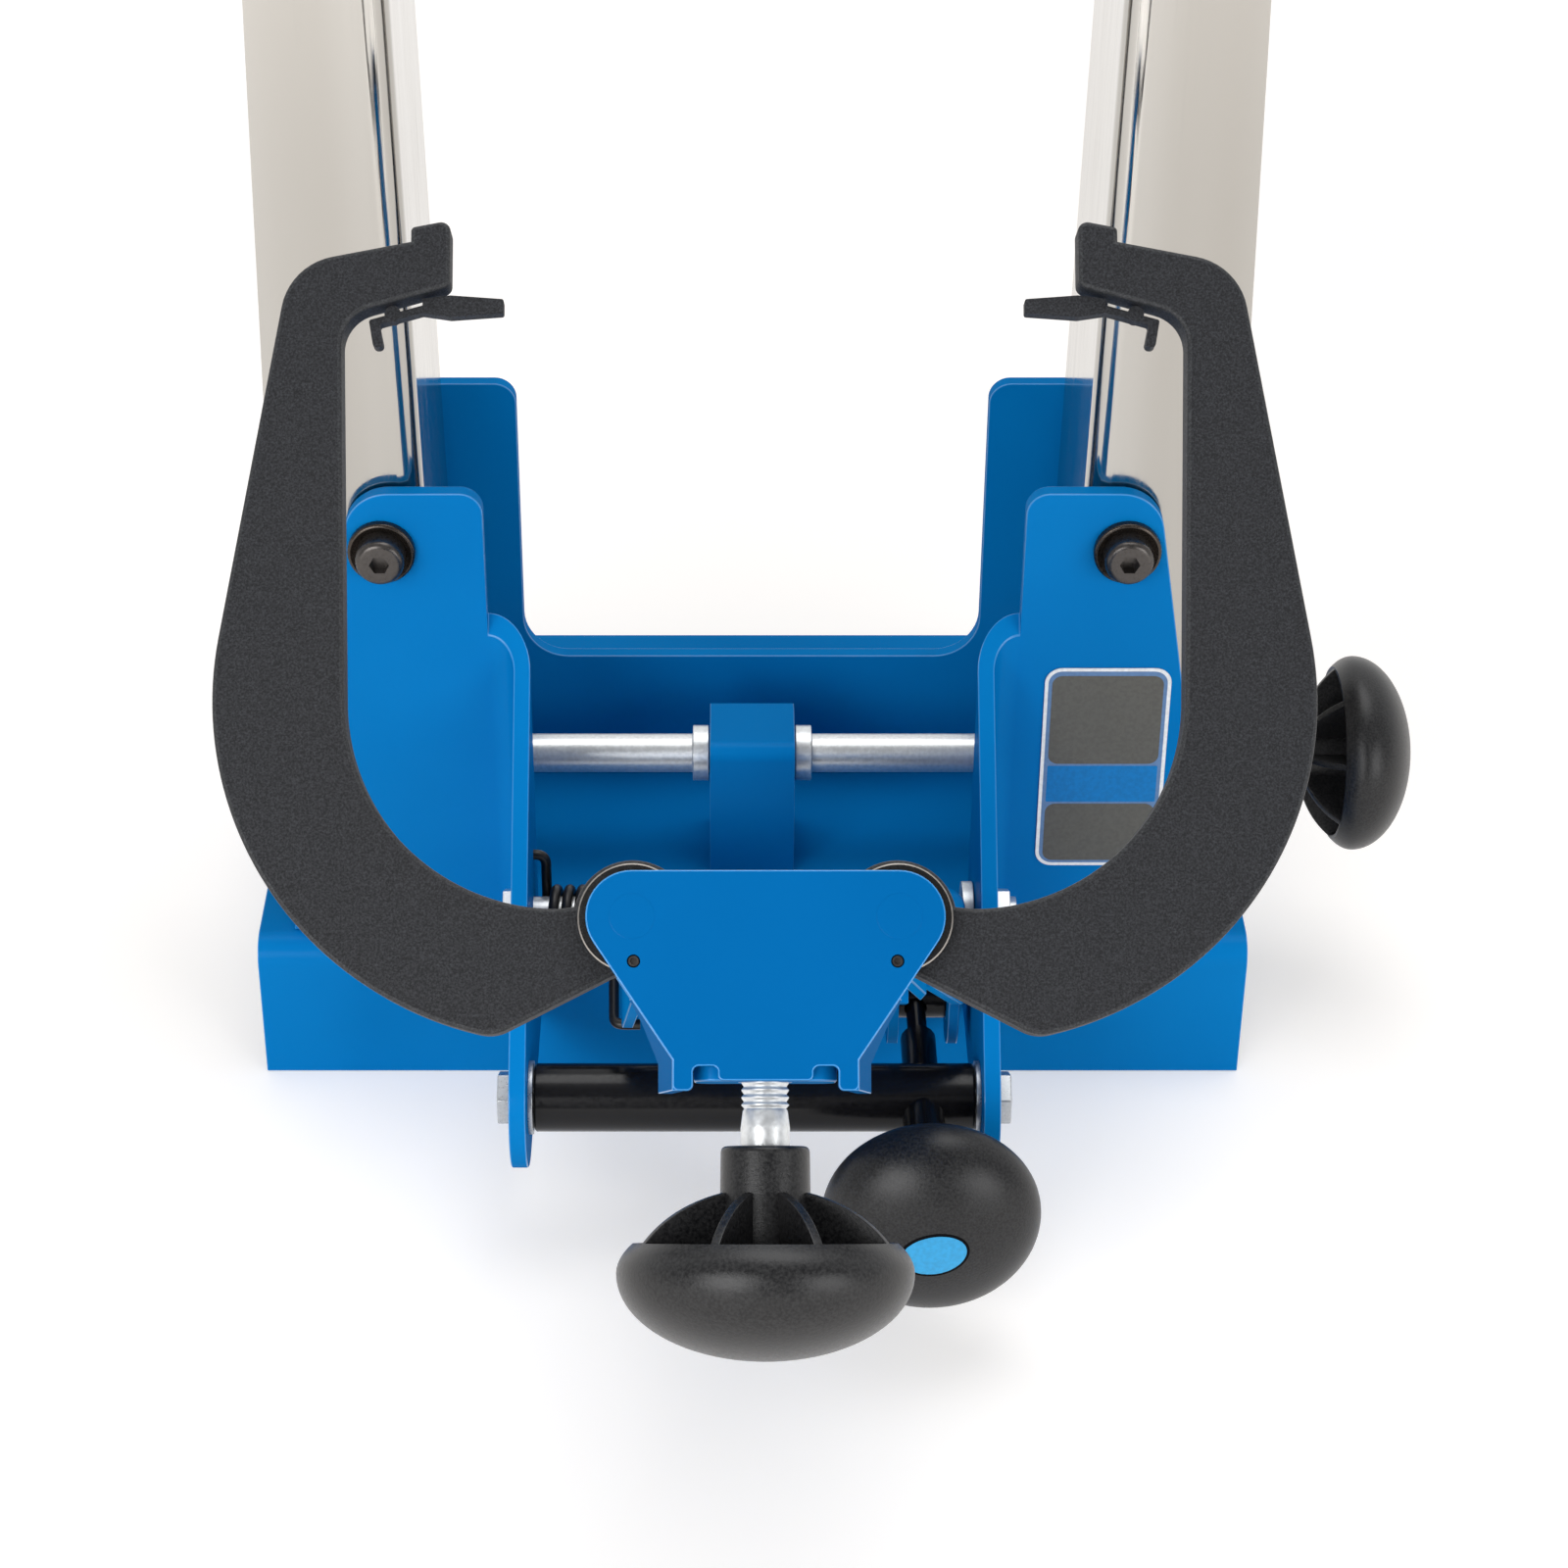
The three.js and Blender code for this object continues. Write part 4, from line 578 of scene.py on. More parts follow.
def eased(bm, width, segments=2, flat=0.3, clamp=False):
    """The mesh with its sharp edges rounded, so that they catch the light; the rounded faces take material
    index 1, which carries a painted highlight where the finish has a rim copy.
    """
    bmesh.ops.remove_doubles(bm, verts=bm.verts, dist=WELD)
    bmesh.ops.dissolve_limit(bm, angle_limit=math.radians(flat), verts=bm.verts, edges=bm.edges)
    edges = []
    for edge in bm.edges:
        if len(edge.link_faces) == 2 and edge.calc_face_angle(0) > math.radians(SHARP):
            edges.append(edge)
    bmesh.ops.bevel(bm, geom=edges, offset=width * MM, segments=segments, profile=0.5,
                    affect="EDGES", clamp_overlap=clamp, material=1)
    return bm


def smooth(mesh, limit):
    """Smooth shading that leaves broad faces flat beside their eased rims."""
    for polygon in mesh.polygons:
        polygon.use_smooth = True
    mesh.set_sharp_from_angle(angle=math.radians(limit))
    obj = placed("weighing", mesh)
    modifier = obj.modifiers.new("weighing", "WEIGHTED_NORMAL")
    modifier.keep_sharp = True
    modifier.weight = 90
    depsgraph = bpy.context.evaluated_depsgraph_get()
    weighed = bpy.data.meshes.new_from_object(obj.evaluated_get(depsgraph))
    bpy.data.objects.remove(obj)
    bpy.data.meshes.remove(mesh)
    return weighed


# Finished pieces

def piece(name, bm, material, body, slot, *nodes, limit=34):
    """A finished piece: smoothed, painted, riding on its body and standing for its nodes."""
    obj = placed(name, smooth(from_bmesh(name, bm), limit))
    obj.data.materials.append(material)
    # the second slot paints a highlight on the eased rims where the finish has a rim copy
    obj.data.materials.append(PAINTED_RIM_HIGHLIGHTS.get(material, material))
    if body:
        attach(obj, body)
    if nodes:
        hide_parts(*nodes)
    return obj


def fitted(node, bm, material, slot, limit=SHARP):
    """Puts a rebuilt piece in the place of its CAD node."""
    piece(node + "_look", bm, material, frame["nodes"][node]["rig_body"], slot, node, limit=limit)


def fitted_pair(name, make, material, slot):
    """The right piece, and its mirror image for the left."""
    fitted(name + "_right", make(), material, slot)
    fitted(name + "_left", mirrored(make()), material, slot)


def dressed(node, material, slot, width):
    """A CAD node's own shape with its edges eased."""
    bm = bmesh.new()
    bm.from_mesh(frame["nodes"][node].data)
    fitted(node, eased(bm, width, flat=0.6, clamp=True), material, slot)


# Base and brackets: folded sheet

BASE_FRONT = -2.4
BASE_REAR = 187.6
BASE_HEIGHT = 47.7
BASE_HALF = 150
BRACKET_FOOT = 48
BRACKET_FOOT_HALF = 139.1
BRACKET_TOP = 197.6
BRACKET_TOP_HALF = 113.9
BRACKET_CORNER = 13
INNER_CORNER = 6.5
BRACKET_BEND = 7.6
EAR_OUTER = 69


def make_base():
    corners = [(BASE_REAR, 0), (BASE_REAR, BASE_HEIGHT), (BASE_FRONT, BASE_HEIGHT), (BASE_FRONT, 0)]
    channel = slab_x(fold(corners, SHEET, inside=3.2), -BASE_HALF, BASE_HALF)
    fitted("base", eased(channel, EDGE), BLUE, "blue_paint")


def front_bracket():
    """A folded corner, trimmed to the outline of its plate and to that of its ear."""
    past_plate, past_ear = 142, 62
    plate_front, plate_rear = 3, 13
    nose, nose_corner, ear_foot, ear_top = -121.1, 20, 25, 159.1
    rear = BRACKET_FRONT + SHEET
    ear_inner = EAR_OUTER - SHEET
    ear_rear = BASE_FRONT - GAP
    bend = EAR_OUTER + BRACKET_BEND
    corners = [(past_plate, rear), (ear_inner, rear), (ear_inner, nose)]
    folded = slab(fold(corners, SHEET, BRACKET_BEND, 12), ear_foot, BRACKET_TOP)
    plate = rounded([(bend, BRACKET_FOOT, 0), (BRACKET_FOOT_HALF, BRACKET_FOOT, 0),
                     (BRACKET_TOP_HALF, BRACKET_TOP, BRACKET_CORNER), (bend, BRACKET_TOP, INNER_CORNER)], 12)
    ear = rounded([(plate_rear, BRACKET_FOOT, 0), (ear_rear, BRACKET_FOOT, 0), (ear_rear, ear_foot, 0),
                   (nose, ear_foot, nose_corner), (plate_rear, ear_top, 0)], 20)
    outlines = carve(slab_y(plate, plate_front, plate_rear), slab_x(ear, past_ear, bend), "UNION")
    return eased(carve(folded, outlines, "INTERSECT"), EDGE)


def make_rear_bracket():
    face, top, window_half, window_foot, window_corner = 93.8, 188, 72, 92, 14
    wing = [(BRACKET_FOOT_HALF, BRACKET_FOOT, 0), (BRACKET_TOP_HALF, top, BRACKET_CORNER),
            (window_half, top, INNER_CORNER), (window_half, window_foot, window_corner)]
    plate = slab_y(two_sided(wing, 12), face, face + SHEET)
    fitted("rear_bracket", eased(plate, EDGE), BLUE, "blue_paint")


# Uprights: plated channels with a narrow neck and an axle slot

def upright():
    """A folded channel trimmed in front and side view, leaned inward and then pierced."""
    sheet, bend, edge, lean = 3.6, 3.4, 0.4, 0.93
    inner, wide, front, rear, foot, top = 93.6, 142.7, 11.6, 92.6, 60, 500
    flange_top, neck_outer, corner = (128.8, 398), (106.6, 452), 15
    shoulder_front, shoulder_rear, shoulder_top = 8, 96, 385
    neck_half, neck_foot = 23, 462
    neck_front, neck_rear = AXLE_Y - neck_half, AXLE_Y + neck_half
    slot_half, slot_foot, mouth_half, mouth_foot = 5.1, 472.9, 9, 493
    slot_front, slot_rear = AXLE_Y - slot_half, AXLE_Y + slot_half
    spindle_hole = 8.6
    nut_window = rectangle(101, 112.9, 71, 91, 5.95, 12)
    overrun, below, above, past_slot = 3, foot - 2, top + 2, 120
    channel = slab(fold([(wide, rear), (inner, rear), (inner, front), (wide, front)], sheet, bend, 10),
                   foot, top)
    front_view = rounded([(inner - overrun, below, 0), (wide, below, 0), (*flange_top, corner),
                          (*neck_outer, corner), (neck_outer[0], top + overrun, 0),
                          (inner - overrun, top + overrun, 0)], 12)
    side_view = rounded([(shoulder_front, below, 0), (shoulder_rear, below, 0),
                         (shoulder_rear, shoulder_top, 0), (neck_rear, neck_foot, corner),
                         (neck_rear, top, corner), (neck_front, top, corner),
                         (neck_front, neck_foot, corner), (shoulder_front, shoulder_top, 0)], 12)
    slot = rounded([(slot_front, slot_foot, slot_half), (slot_rear, slot_foot, slot_half),
                    (slot_rear, mouth_foot, 0), (AXLE_Y + mouth_half, above, 0),
                    (AXLE_Y - mouth_half, above, 0), (slot_front, mouth_foot, 0)], 12)
    body = carve(channel, slab_y(front_view, front - overrun, rear + overrun), "INTERSECT")
    body = carve(body, slab_x(side_view, inner - overrun, wide + overrun), "INTERSECT")
    body = carve(body, slab_x(slot, inner - overrun, past_slot))
    pivot = shifted(UPRIGHT_PIVOT_X, 0, UPRIGHT_PIVOT_Z)
    moved(body, pivot @ Matrix.Rotation(math.radians(lean), 4, "Y") @ pivot.inverted())
    body = carve(body, rod("x", (0, AXLE_Y, SPINDLE_Z), spindle_hole, foot, UPRIGHT_PIVOT_X))
    body = carve(body, slab_y(nut_window, front - overrun, rear + overrun))
    return eased(body, edge)


# Stalk: tapered channel with a lever on its right cheek

STALK_TILT = math.radians(57.2)
STALK_LENGTH = 312
STALK_WEB_START = 9
STALK_TAPER_START = 24
# left, right and top of the channel where its taper starts and at the head
STALK_LOW = (-38, 60.3, 8.4)
STALK_HIGH = (-24, 24, 17)
CHEEK_DEPTH = -74
CHEEK_HEAD = 4.3
CHEEK_CORNER = 9
LEFT_HEEL = (35, -31)
RIGHT_HEEL = (40, -24)
THROAT = 4.2
PIVOT_CLEARANCE = (-31.5, 53.8, THROAT, 10.4)
LUG_RADIUS = 9.5


def stalk_corner(along_it, rise, radius=0):
    return (rise * math.cos(STALK_TILT) - along_it * math.sin(STALK_TILT) + PIVOT_Y,
            rise * math.sin(STALK_TILT) + along_it * math.cos(STALK_TILT) + PIVOT_Z, radius)


def about_pivot(corners):
    return [(y + PIVOT_Y, z + PIVOT_Z, radius) for y, z, radius in corners]


def stalk_upper(heel):
    """A cheek's outline above the pivot, from the throat over the head to its heel."""
    past_head, past_web = STALK_LENGTH + 2, 19
    start, rise = heel
    share = (past_head - start) / (STALK_LENGTH - start)
    return [stalk_corner(STALK_WEB_START, THROAT), stalk_corner(STALK_WEB_START, past_web),
            stalk_corner(past_head, past_web), stalk_corner(past_head, rise + (CHEEK_HEAD - rise) * share),
            stalk_corner(start, rise, CHEEK_CORNER)]


def lug(start, end):
    return about_pivot(sharp(arc(0, 0, LUG_RADIUS, start, end, 16)))


def right_side():
    """The right cheek, whose lever hangs below the pivot."""
    half, foot, shoulder = 14, -44, -21
    before = about_pivot([(-half, foot, half), (half, foot, half), (half, -LUG_RADIUS, 0)])
    after = about_pivot([(-half, shoulder, CHEEK_CORNER)])
    return rounded(before + lug(0, 90) + stalk_upper(RIGHT_HEEL) + after, 14)


def left_side():
    return rounded(lug(-90, 90) + stalk_upper(LEFT_HEEL), 14)


def stalk_section(at):
    """The channel's section at a place along the stalk."""
    share = (max(at, STALK_TAPER_START) - STALK_TAPER_START) / (STALK_LENGTH - STALK_TAPER_START)
    left, right, top = (low + (high - low) * share for low, high in zip(STALK_LOW, STALK_HIGH))
    corners = [(right, CHEEK_DEPTH), (right, top), (left, top), (left, CHEEK_DEPTH)]
    return [(x, y, at) for x, y in fold(corners, sheet=3.2, inside=3)]


def make_stalk():
    foot, past_foot, past_side = -50, -52, 62
    between_cheeks, inside_lever = 40, 50
    slot_half, slot_foot, slot_top = 4.7, -36.9, -25.3
    onto = shifted(0, PIVOT_Y, PIVOT_Z) @ Matrix.Rotation(STALK_TILT, 4, "X")
    channel = moved(lofted([stalk_section(at) for at in (foot, STALK_TAPER_START, STALK_LENGTH)]), onto)
    sides = carve(slab_x(left_side(), -past_side, between_cheeks),
                  slab_x(right_side(), between_cheeks - 1, past_side), "UNION")
    body = carve(channel, sides, "INTERSECT")
    over_pivot = slab(rectangle(*PIVOT_CLEARANCE), past_foot, STALK_WEB_START + GAP)
    body = carve(body, moved(over_pivot, onto))
    behind_head = slab(rectangle(-past_side, past_side, -past_side, STALK_LENGTH),
                       -HOUSING_DEPTH - GAP, STALK_LENGTH)
    body = carve(body, moved(behind_head, HEAD))
    slot = rectangle(PIVOT_Y - slot_half, PIVOT_Y + slot_half, PIVOT_Z + slot_foot, PIVOT_Z + slot_top,
                     slot_half, 10)
    body = carve(body, slab_x(slot, inside_lever, past_side))
    fitted("stalk", eased(body, EDGE), BLUE, "blue_paint")


def make_sheet_metal():
    make_base()
    fitted_pair("front_bracket", front_bracket, BLUE, "blue_paint")
    make_rear_bracket()
    fitted_pair("upright", upright, PLATE, "bright_plate")
    make_stalk()
    for node in ("clevis_plate", "spindle_bearing", "housing_back", "screw_plate"):
        dressed(node, BLUE, "blue_paint", width=0.4)


# Caliper housing: front plate with rounded shoulders, tabs and flared flanges

WAIST = (18.6, 42.3)
SHOULDER = 9.3
TAB_FOOT = 36.2
# heights, and the depth that the flange reaches back to at each
FLANGE_REACH = ((42.3, -7.7), (50, 4.3), (54.5, 8))
FLANGE_FRONT = 10.8
FLARE = 0.17
SET_SCREW = (26.4, 62)


def housing_slant():
    """The slant of the housing's sides, which run from the waist to the round shoulders."""
    lean = Vector(PIN) - Vector(WAIST)
    return math.atan2(lean.y, lean.x) - math.asin(SHOULDER / lean.length)


def housing_plate():
    top, tab_inner, notch_top, lip_half, lip_foot, corner = 80.3, 14.5, 41.1, 9.5, 38.2, 1.2
    top_x = WAIST[0] + (top - WAIST[1]) / math.tan(housing_slant())
    half = [(top_x, top, SHOULDER), (*WAIST, 0), (WAIST[0], TAB_FOOT, corner), (tab_inner, TAB_FOOT, corner),
            (tab_inner, notch_top, corner), (lip_half, notch_top, corner), (lip_half, lip_foot, corner)]
    return slab(two_sided(half, 16), HOUSING_DEPTH - HOUSING_SHEET, HOUSING_DEPTH, edge=0.3)


def housing_flange():
    """The right flange, drawn back by its reach and flared outward."""
    slope = 1 / math.tan(housing_slant())
    furthest, slack = FLANGE_REACH[0][1], 0.1
    outer = [(WAIST[0], TAB_FOOT)] + [(WAIST[0] + (y - WAIST[1]) * slope, y) for y, _ in FLANGE_REACH]
    wall = slab(outer + [(x - HOUSING_SHEET, y) for x, y in reversed(outer)], furthest, FLANGE_FRONT)
    for vert in wall.verts:
        y, z = vert.co.y / MM, vert.co.z / MM
        if z < 0:
            z = next(low for height, low in FLANGE_REACH if y < height + slack)
        vert.co.z = z * MM
        vert.co.x += FLARE * (HOUSING_DEPTH - z) * MM
    return wall


def make_housing():
    body = housing_plate()
    for sign in (1, -1):
        well = rod("z", (sign * SET_SCREW[0], SET_SCREW[1], 0), radius=1.35, low=9.2, high=13, sides=32)
        body = carve(body, well)
    for sign in (1, -1):
        painted_end = lathe(stud(radius=4.6, low=10.5, high=11.12, bevel=0.25, drop=0.1))
        merge(body, moved(painted_end, shifted(sign * PIN[0], PIN[1])))
    merge(body, eased(housing_flange(), 0.2))
    merge(body, eased(mirrored(housing_flange()), 0.2))
    # the housing's darker blue is painted shade
    fitted("housing_front", moved(body, HEAD), HOUSING_BLUE_PAINTED_SHADE, "blue_paint", limit=32)
    for sign, side in ((1, "right"), (-1, "left")):
        screw = carve(lathe(stud(radius=1.25, low=9.25, high=10.7, bevel=0.2, drop=0.2), 32),
                      hexagon(across=1.3, low=9.8, high=12))
        moved(screw, HEAD @ shifted(sign * SET_SCREW[0], SET_SCREW[1]))
        piece("set_screw_" + side, screw, OXIDE, "stalk_set", "black_steel")


# Torsion spring: one smooth wire

def make_spring():
    wire_radius, radius, pitch, curls, start = 1.5, 7.1, 3.75, 5.25, -60.6
    steps, bend, lead = 32, 3.2, 3
    ear_end, ear_rise = -67.5, 16
    leg_bend, leg_end, leg_reach, leg_drop = -39.8, -32.4, 41.6, 2.1
    coil = []
    for i in range(round(curls * steps) + 1):
        angle = math.tau * i / steps
        coil.append(Vector((start + pitch * i / steps, PIVOT_Y + radius * math.cos(angle),
                            PIVOT_Z - radius * math.sin(angle))))
    first, last = coil[0], coil[-1]
    ear_z = first.z + ear_rise
    leg_y, leg_z = last.y - leg_reach, last.z - leg_drop
    ear = bent([(ear_end, first.y, ear_z), (first.x, first.y, ear_z),
                (first.x, first.y, first.z + lead)], bend)
    leg = bent([(last.x, last.y - lead, last.z), (leg_bend, leg_y, leg_z), (leg_end, leg_y, leg_z)], bend)
    spring = piece("torsion_spring_look", wire(ear + coil + leg, wire_radius), SPRING, None,
                   "black_steel", "torsion_spring", limit=60)
    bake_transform(spring)


# Turned parts: shafts, the caliper screw and the arms' spacers

SPACER_RADIUS = 11


def turned_piece(node, place, profile, material, slot):
    fitted(node, moved(lathe(profile, 56), place), material, slot, limit=30)


def screw_profile():
    """The caliper screw's profile from its foot up, with the few turns of thread that show."""
    top, foot, shank = 62.2, 14.5, 5
    radius, depth, pitch, first_crest, turns = 4.8, 0.5, 1.5, 38.8, 4
    flank_share, land_share, last_share = 0.36, 0.5, 0.4
    profile = [(0, top), (radius - depth, top)]
    for k in range(turns):
        crest = first_crest - pitch * k
        profile += [(radius - depth, crest), (radius, crest - pitch * flank_share),
                    (radius, crest - pitch * land_share)]
    tail = profile[-1][1] - pitch * last_share
    # below the thread the screw widens again to its plain shank
    profile += [(4.25, tail), (4.55, tail - 0.5), (4.9, tail - 3.2), (shank, tail - 4)]
    profile += [(shank, foot), (0, foot)]
    return profile[::-1]


def make_turned_parts():
    turned_piece("cross_shaft", along("x", (0, CROSS_Y, CROSS_Z)),
                 shaft(radius=9.75, low=-62.5, high=62.5, bevel=0.6), GLOSS_BLACK, "black_steel")
    turned_piece("pivot_tube", along("x", (0, PIVOT_Y, PIVOT_Z)),
                 sleeve(bore=5.3, radius=7, low=-31.2, high=53.5), GLOSS_BLACK, "black_steel")
    turned_piece("caliper_screw", HEAD @ along("y", (0, 0, 0)), screw_profile(), ZINC, "zinc_steel")


def make_small_parts():
    fine, medium, broad = 0.2, 0.3, 0.4
    for node in ("height_barrel", "height_screw", "caliper_spool"):
        dressed(node, GLOSS_BLACK, "black_steel", medium)
    fasteners = (("cross_shaft_washer_", fine), ("cross_shaft_bolt_", broad), ("pivot_nut_", broad),
                 ("barrel_nut_", broad), ("caliper_pin_", fine))
    for side in ("left", "right"):
        for node, width in fasteners:
            dressed(node + side, ZINC_FASTENER, "zinc_steel", width)
        dressed("caliper_rear_washer_" + side, GLOSS_BLACK, "black_steel", fine)
        dressed("caliper_tip_" + side, CHARCOAL, "black_steel", medium)
    for node in ("spindle", "pivot_shaft", "pivot_shaft_nut", "pivot_shaft_inner_washer",
                 "pivot_shaft_outer_washer"):
        dressed(node, ZINC, "zinc_steel", medium)


def make_caliper_washers():
    """Spacers between the arms and the housing plate, black, with a pale metal rim painted as a highlight.
    """
    ring = sleeve(PIN_BORE, SPACER_RADIUS, ARM_THICKNESS / 2 + GAP, HOUSING_DEPTH - HOUSING_SHEET - GAP)
    for sign, side in ((1, "right"), (-1, "left")):
        washer = eased(lathe(ring), 0.3, segments=1)
        moved(washer, HEAD @ shifted(sign * PIN[0], PIN[1]))
        fitted("caliper_front_washer_" + side, washer, SPACER, "black_steel")


# Pivot bolts: dished washer with a worn edge, socket head with a rounded rim

BOLT_HEAD_RADIUS = 6.9
BOLT_HEAD_HEIGHT = 6.2
BOLT_RIM = 2.0
BOLT_SOCKET_ACROSS = 5
BOLT_SOCKET_DEPTH = 3.2
BOLT_SHANK_RADIUS = 4.9
BOLT_END_BEVEL = 0.8
WASHER_RADIUS = 9.6
WASHER_THICKNESS = 2.6
WASHER_RIM = 0.9
WASHER_DISH = 1.5
WASHER_BORE = 5.2
WASHER_BEVEL = 0.2


def pivot_bolt(shank_end):
    top = -WASHER_THICKNESS - BOLT_HEAD_HEIGHT
    profile = [(0, top)] + arc(BOLT_HEAD_RADIUS - BOLT_RIM, top + BOLT_RIM, BOLT_RIM, -90, 0, 5)
    profile += [(BOLT_HEAD_RADIUS, -WASHER_DISH), (BOLT_SHANK_RADIUS, -WASHER_DISH),
                (BOLT_SHANK_RADIUS, shank_end - BOLT_END_BEVEL),
                (BOLT_SHANK_RADIUS - BOLT_END_BEVEL, shank_end), (0, shank_end)]
    return carve(lathe(profile, 48), hexagon(BOLT_SOCKET_ACROSS, top - 1, top + BOLT_SOCKET_DEPTH))


def pivot_washer():
    ring = [(WASHER_BORE, -WASHER_DISH), (BOLT_HEAD_RADIUS, -WASHER_DISH)]
    ring += arc(WASHER_RADIUS - WASHER_RIM, WASHER_RIM - WASHER_THICKNESS, WASHER_RIM, -90, 0, 4)
    ring += [(WASHER_RADIUS, -WASHER_BEVEL), (WASHER_RADIUS - WASHER_BEVEL, 0), (WASHER_BORE, 0),
             (WASHER_BORE, -WASHER_DISH)]
    washer = lathe(ring, 48)
    bmesh.ops.remove_doubles(washer, verts=washer.verts, dist=1e-7)
    return washer


def make_pivot_bolts():
    shank_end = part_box("pivot_bolt_right")[1].y / MM - BRACKET_FRONT
    for sign, side in ((-1, "left"), (1, "right")):
        seat = along("y", (sign * UPRIGHT_PIVOT_X, BRACKET_FRONT, UPRIGHT_PIVOT_Z))
        piece("pivot_bolt_look_" + side, moved(pivot_bolt(shank_end), seat), OXIDE, "frame",
              "black_steel", "pivot_bolt_" + side)
        piece("pivot_washer_look_" + side, moved(pivot_washer(), seat), WASHER, "frame",
              "black_steel", "pivot_washer_" + side)


# Knobs: domed cap, rounded rim, pocket with ribs, neck

KNOB_RADIUS = 30
KNOB_DOME = 17.5
KNOB_RIM_RISE = 6
KNOB_RIM_RADIUS = 26.7
KNOB_LIP = 1.1
KNOB_FLOOR = 1.5
KNOB_SHOULDER = 16.8
KNOB_NECK = 9.35
KNOB_NECK_END = 25.4
KNOB_RIBS = 8
KNOB_RIB = 2.0
KNOB_RIB_REACH = 26.3
KNOB_RIB_BEND = (19.5, 14.5)
KNOB_CORE = KNOB_NECK * 0.6
HEIGHT_KNOB = (48, -124.4, CROSS_Z)
SIDE_KNOB = (185.5, AXLE_Y, SPINDLE_Z)
SCREW_BORE = 5.0
SHAFT_BORE = 6.2


def knob_profile(bore):
    """From the dome's crown over the rim, down the pocket and up the neck to its bore."""
    dome_steps, rim_steps = 22, 6
    pocket_round, fillet, draft = 2.4, 1.5, 0.2
    end_round, bore_depth = 1.2, 14
    profile = []
    for k in range(dome_steps + 1):
        angle = math.radians(-90 + 90 * k / dome_steps)
        profile.append((KNOB_RADIUS * math.cos(angle), KNOB_DOME * math.sin(angle)))
    rise = math.asin(KNOB_RIM_RISE / KNOB_DOME)
    span = (KNOB_RADIUS - KNOB_RIM_RADIUS) / (1 - math.cos(rise))
    for k in range(1, rim_steps + 1):
        angle = rise * k / rim_steps
        profile.append((KNOB_RADIUS - span * (1 - math.cos(angle)), KNOB_DOME * math.sin(angle)))
    inner = KNOB_RIM_RADIUS - KNOB_LIP
    profile += [(inner, KNOB_RIM_RISE), (inner - 2 * draft, KNOB_RIM_RISE - 0.5)]
    corner = pocket_round + draft
    profile += arc(inner - corner, KNOB_FLOOR + corner, pocket_round, 0, -90, 5)
    profile += arc(KNOB_NECK + fillet, KNOB_FLOOR + fillet, fillet, -90, -180, 4)
    slim, end = KNOB_NECK - 0.35, KNOB_NECK_END - end_round
    profile += [(KNOB_NECK - 0.25, KNOB_SHOULDER), (slim, end)]
    profile += arc(slim - end_round, end, end_round, 0, 90, 4)
    bottom = KNOB_NECK_END - bore_depth
    return profile + [(bore, KNOB_NECK_END), (bore, bottom), (0, bottom)]


def knob(bore):
    body = lathe(knob_profile(bore), 96)
    under = KNOB_FLOOR - 0.5
    rib = [(KNOB_CORE, under), (KNOB_RIB_REACH, under)]
    rib += curve(Vector((KNOB_RIB_REACH, KNOB_RIM_RISE)), Vector(KNOB_RIB_BEND),
                 Vector((KNOB_CORE, KNOB_SHOULDER)), 14)
    stand_up = Matrix.Rotation(math.pi / 2, 4, "X")
    for k in range(KNOB_RIBS):
        turn = Matrix.Rotation(math.tau * (k + 0.5) / KNOB_RIBS, 4, "Z")
        blade = slab(rib, -KNOB_RIB / 2, KNOB_RIB / 2, edge=0.35, steps=2)
        body = carve(body, moved(blade, turn @ stand_up), "UNION")
    return body


def make_knobs():
    places = (
        ("front_knob", HEAD @ along("-y", (0, 0, 0)) @ Matrix.Rotation(math.pi, 4, "Y"), SCREW_BORE),
        ("height_knob", along("y", HEIGHT_KNOB), SHAFT_BORE),
        ("side_knob", along("-x", SIDE_KNOB), SHAFT_BORE),
    )
    for node, place, bore in places:
        fitted(node, moved(knob(bore), place), KNOB, "black_plastic", limit=40)


# Caliper arms with softly rounded rims, in the head's own frame

ARM_ARC = (42.1, 116.7)
ARM_OUTER = 70.6
ARM_INNER = 43.6
ARM_HUB = 12
KNUCKLE_X = 10
KNUCKLE_RADIUS = 4
KNUCKLE_NECK_HALF = 2.9


def arm_outline():
    """The right arm, from its end over the shoulder, down to the hub and back up inside."""
    end, end_top, end_foot = 65, 213.4, 202.3
    step, step_rise = 73.2, 3
    shoulder, crook, heel = (98.3, 206.9), (87.4, 196), (54.8, 47.2)
    step_top = end_top + (step - end) * (shoulder[1] - end_top) / (shoulder[0] - end)
    corners = [(end, end_top + step_rise, 2), (step, step_top + step_rise, 1), (step, step_top, 0),
               (*shoulder, 13)]
    corners += sharp(arc(*ARM_ARC, ARM_OUTER, 9.9, -76.5, 44))
    corners += [(*heel, 8)]
    corners += sharp(arc(*PIN, ARM_HUB, -72, -168, 22))
    corners += sharp([(KNUCKLE_X, PIN[1] - KNUCKLE_NECK_HALF), (KNUCKLE_X, PIN[1] + KNUCKLE_NECK_HALF)])
    corners += sharp(arc(*PIN, ARM_HUB, 168, 12, 22) + arc(*ARM_ARC, ARM_INNER, -90, 0, 36))
    corners += [(*crook, 8), (end, end_foot, 2)]
    return rounded(corners, 10)


def arm():
    plate = slab(arm_outline(), -ARM_THICKNESS / 2, ARM_THICKNESS / 2, edge=0.9)
    knuckle = lathe(shaft(KNUCKLE_RADIUS, -ARM_THICKNESS / 2, ARM_THICKNESS / 2, bevel=0.4), 32)
    joined = carve(plate, moved(knuckle, shifted(KNUCKLE_X, PIN[1])), "UNION")
    return carve(joined, rod("z", (*PIN, 0), PIN_BORE, low=-6, high=6, sides=32))


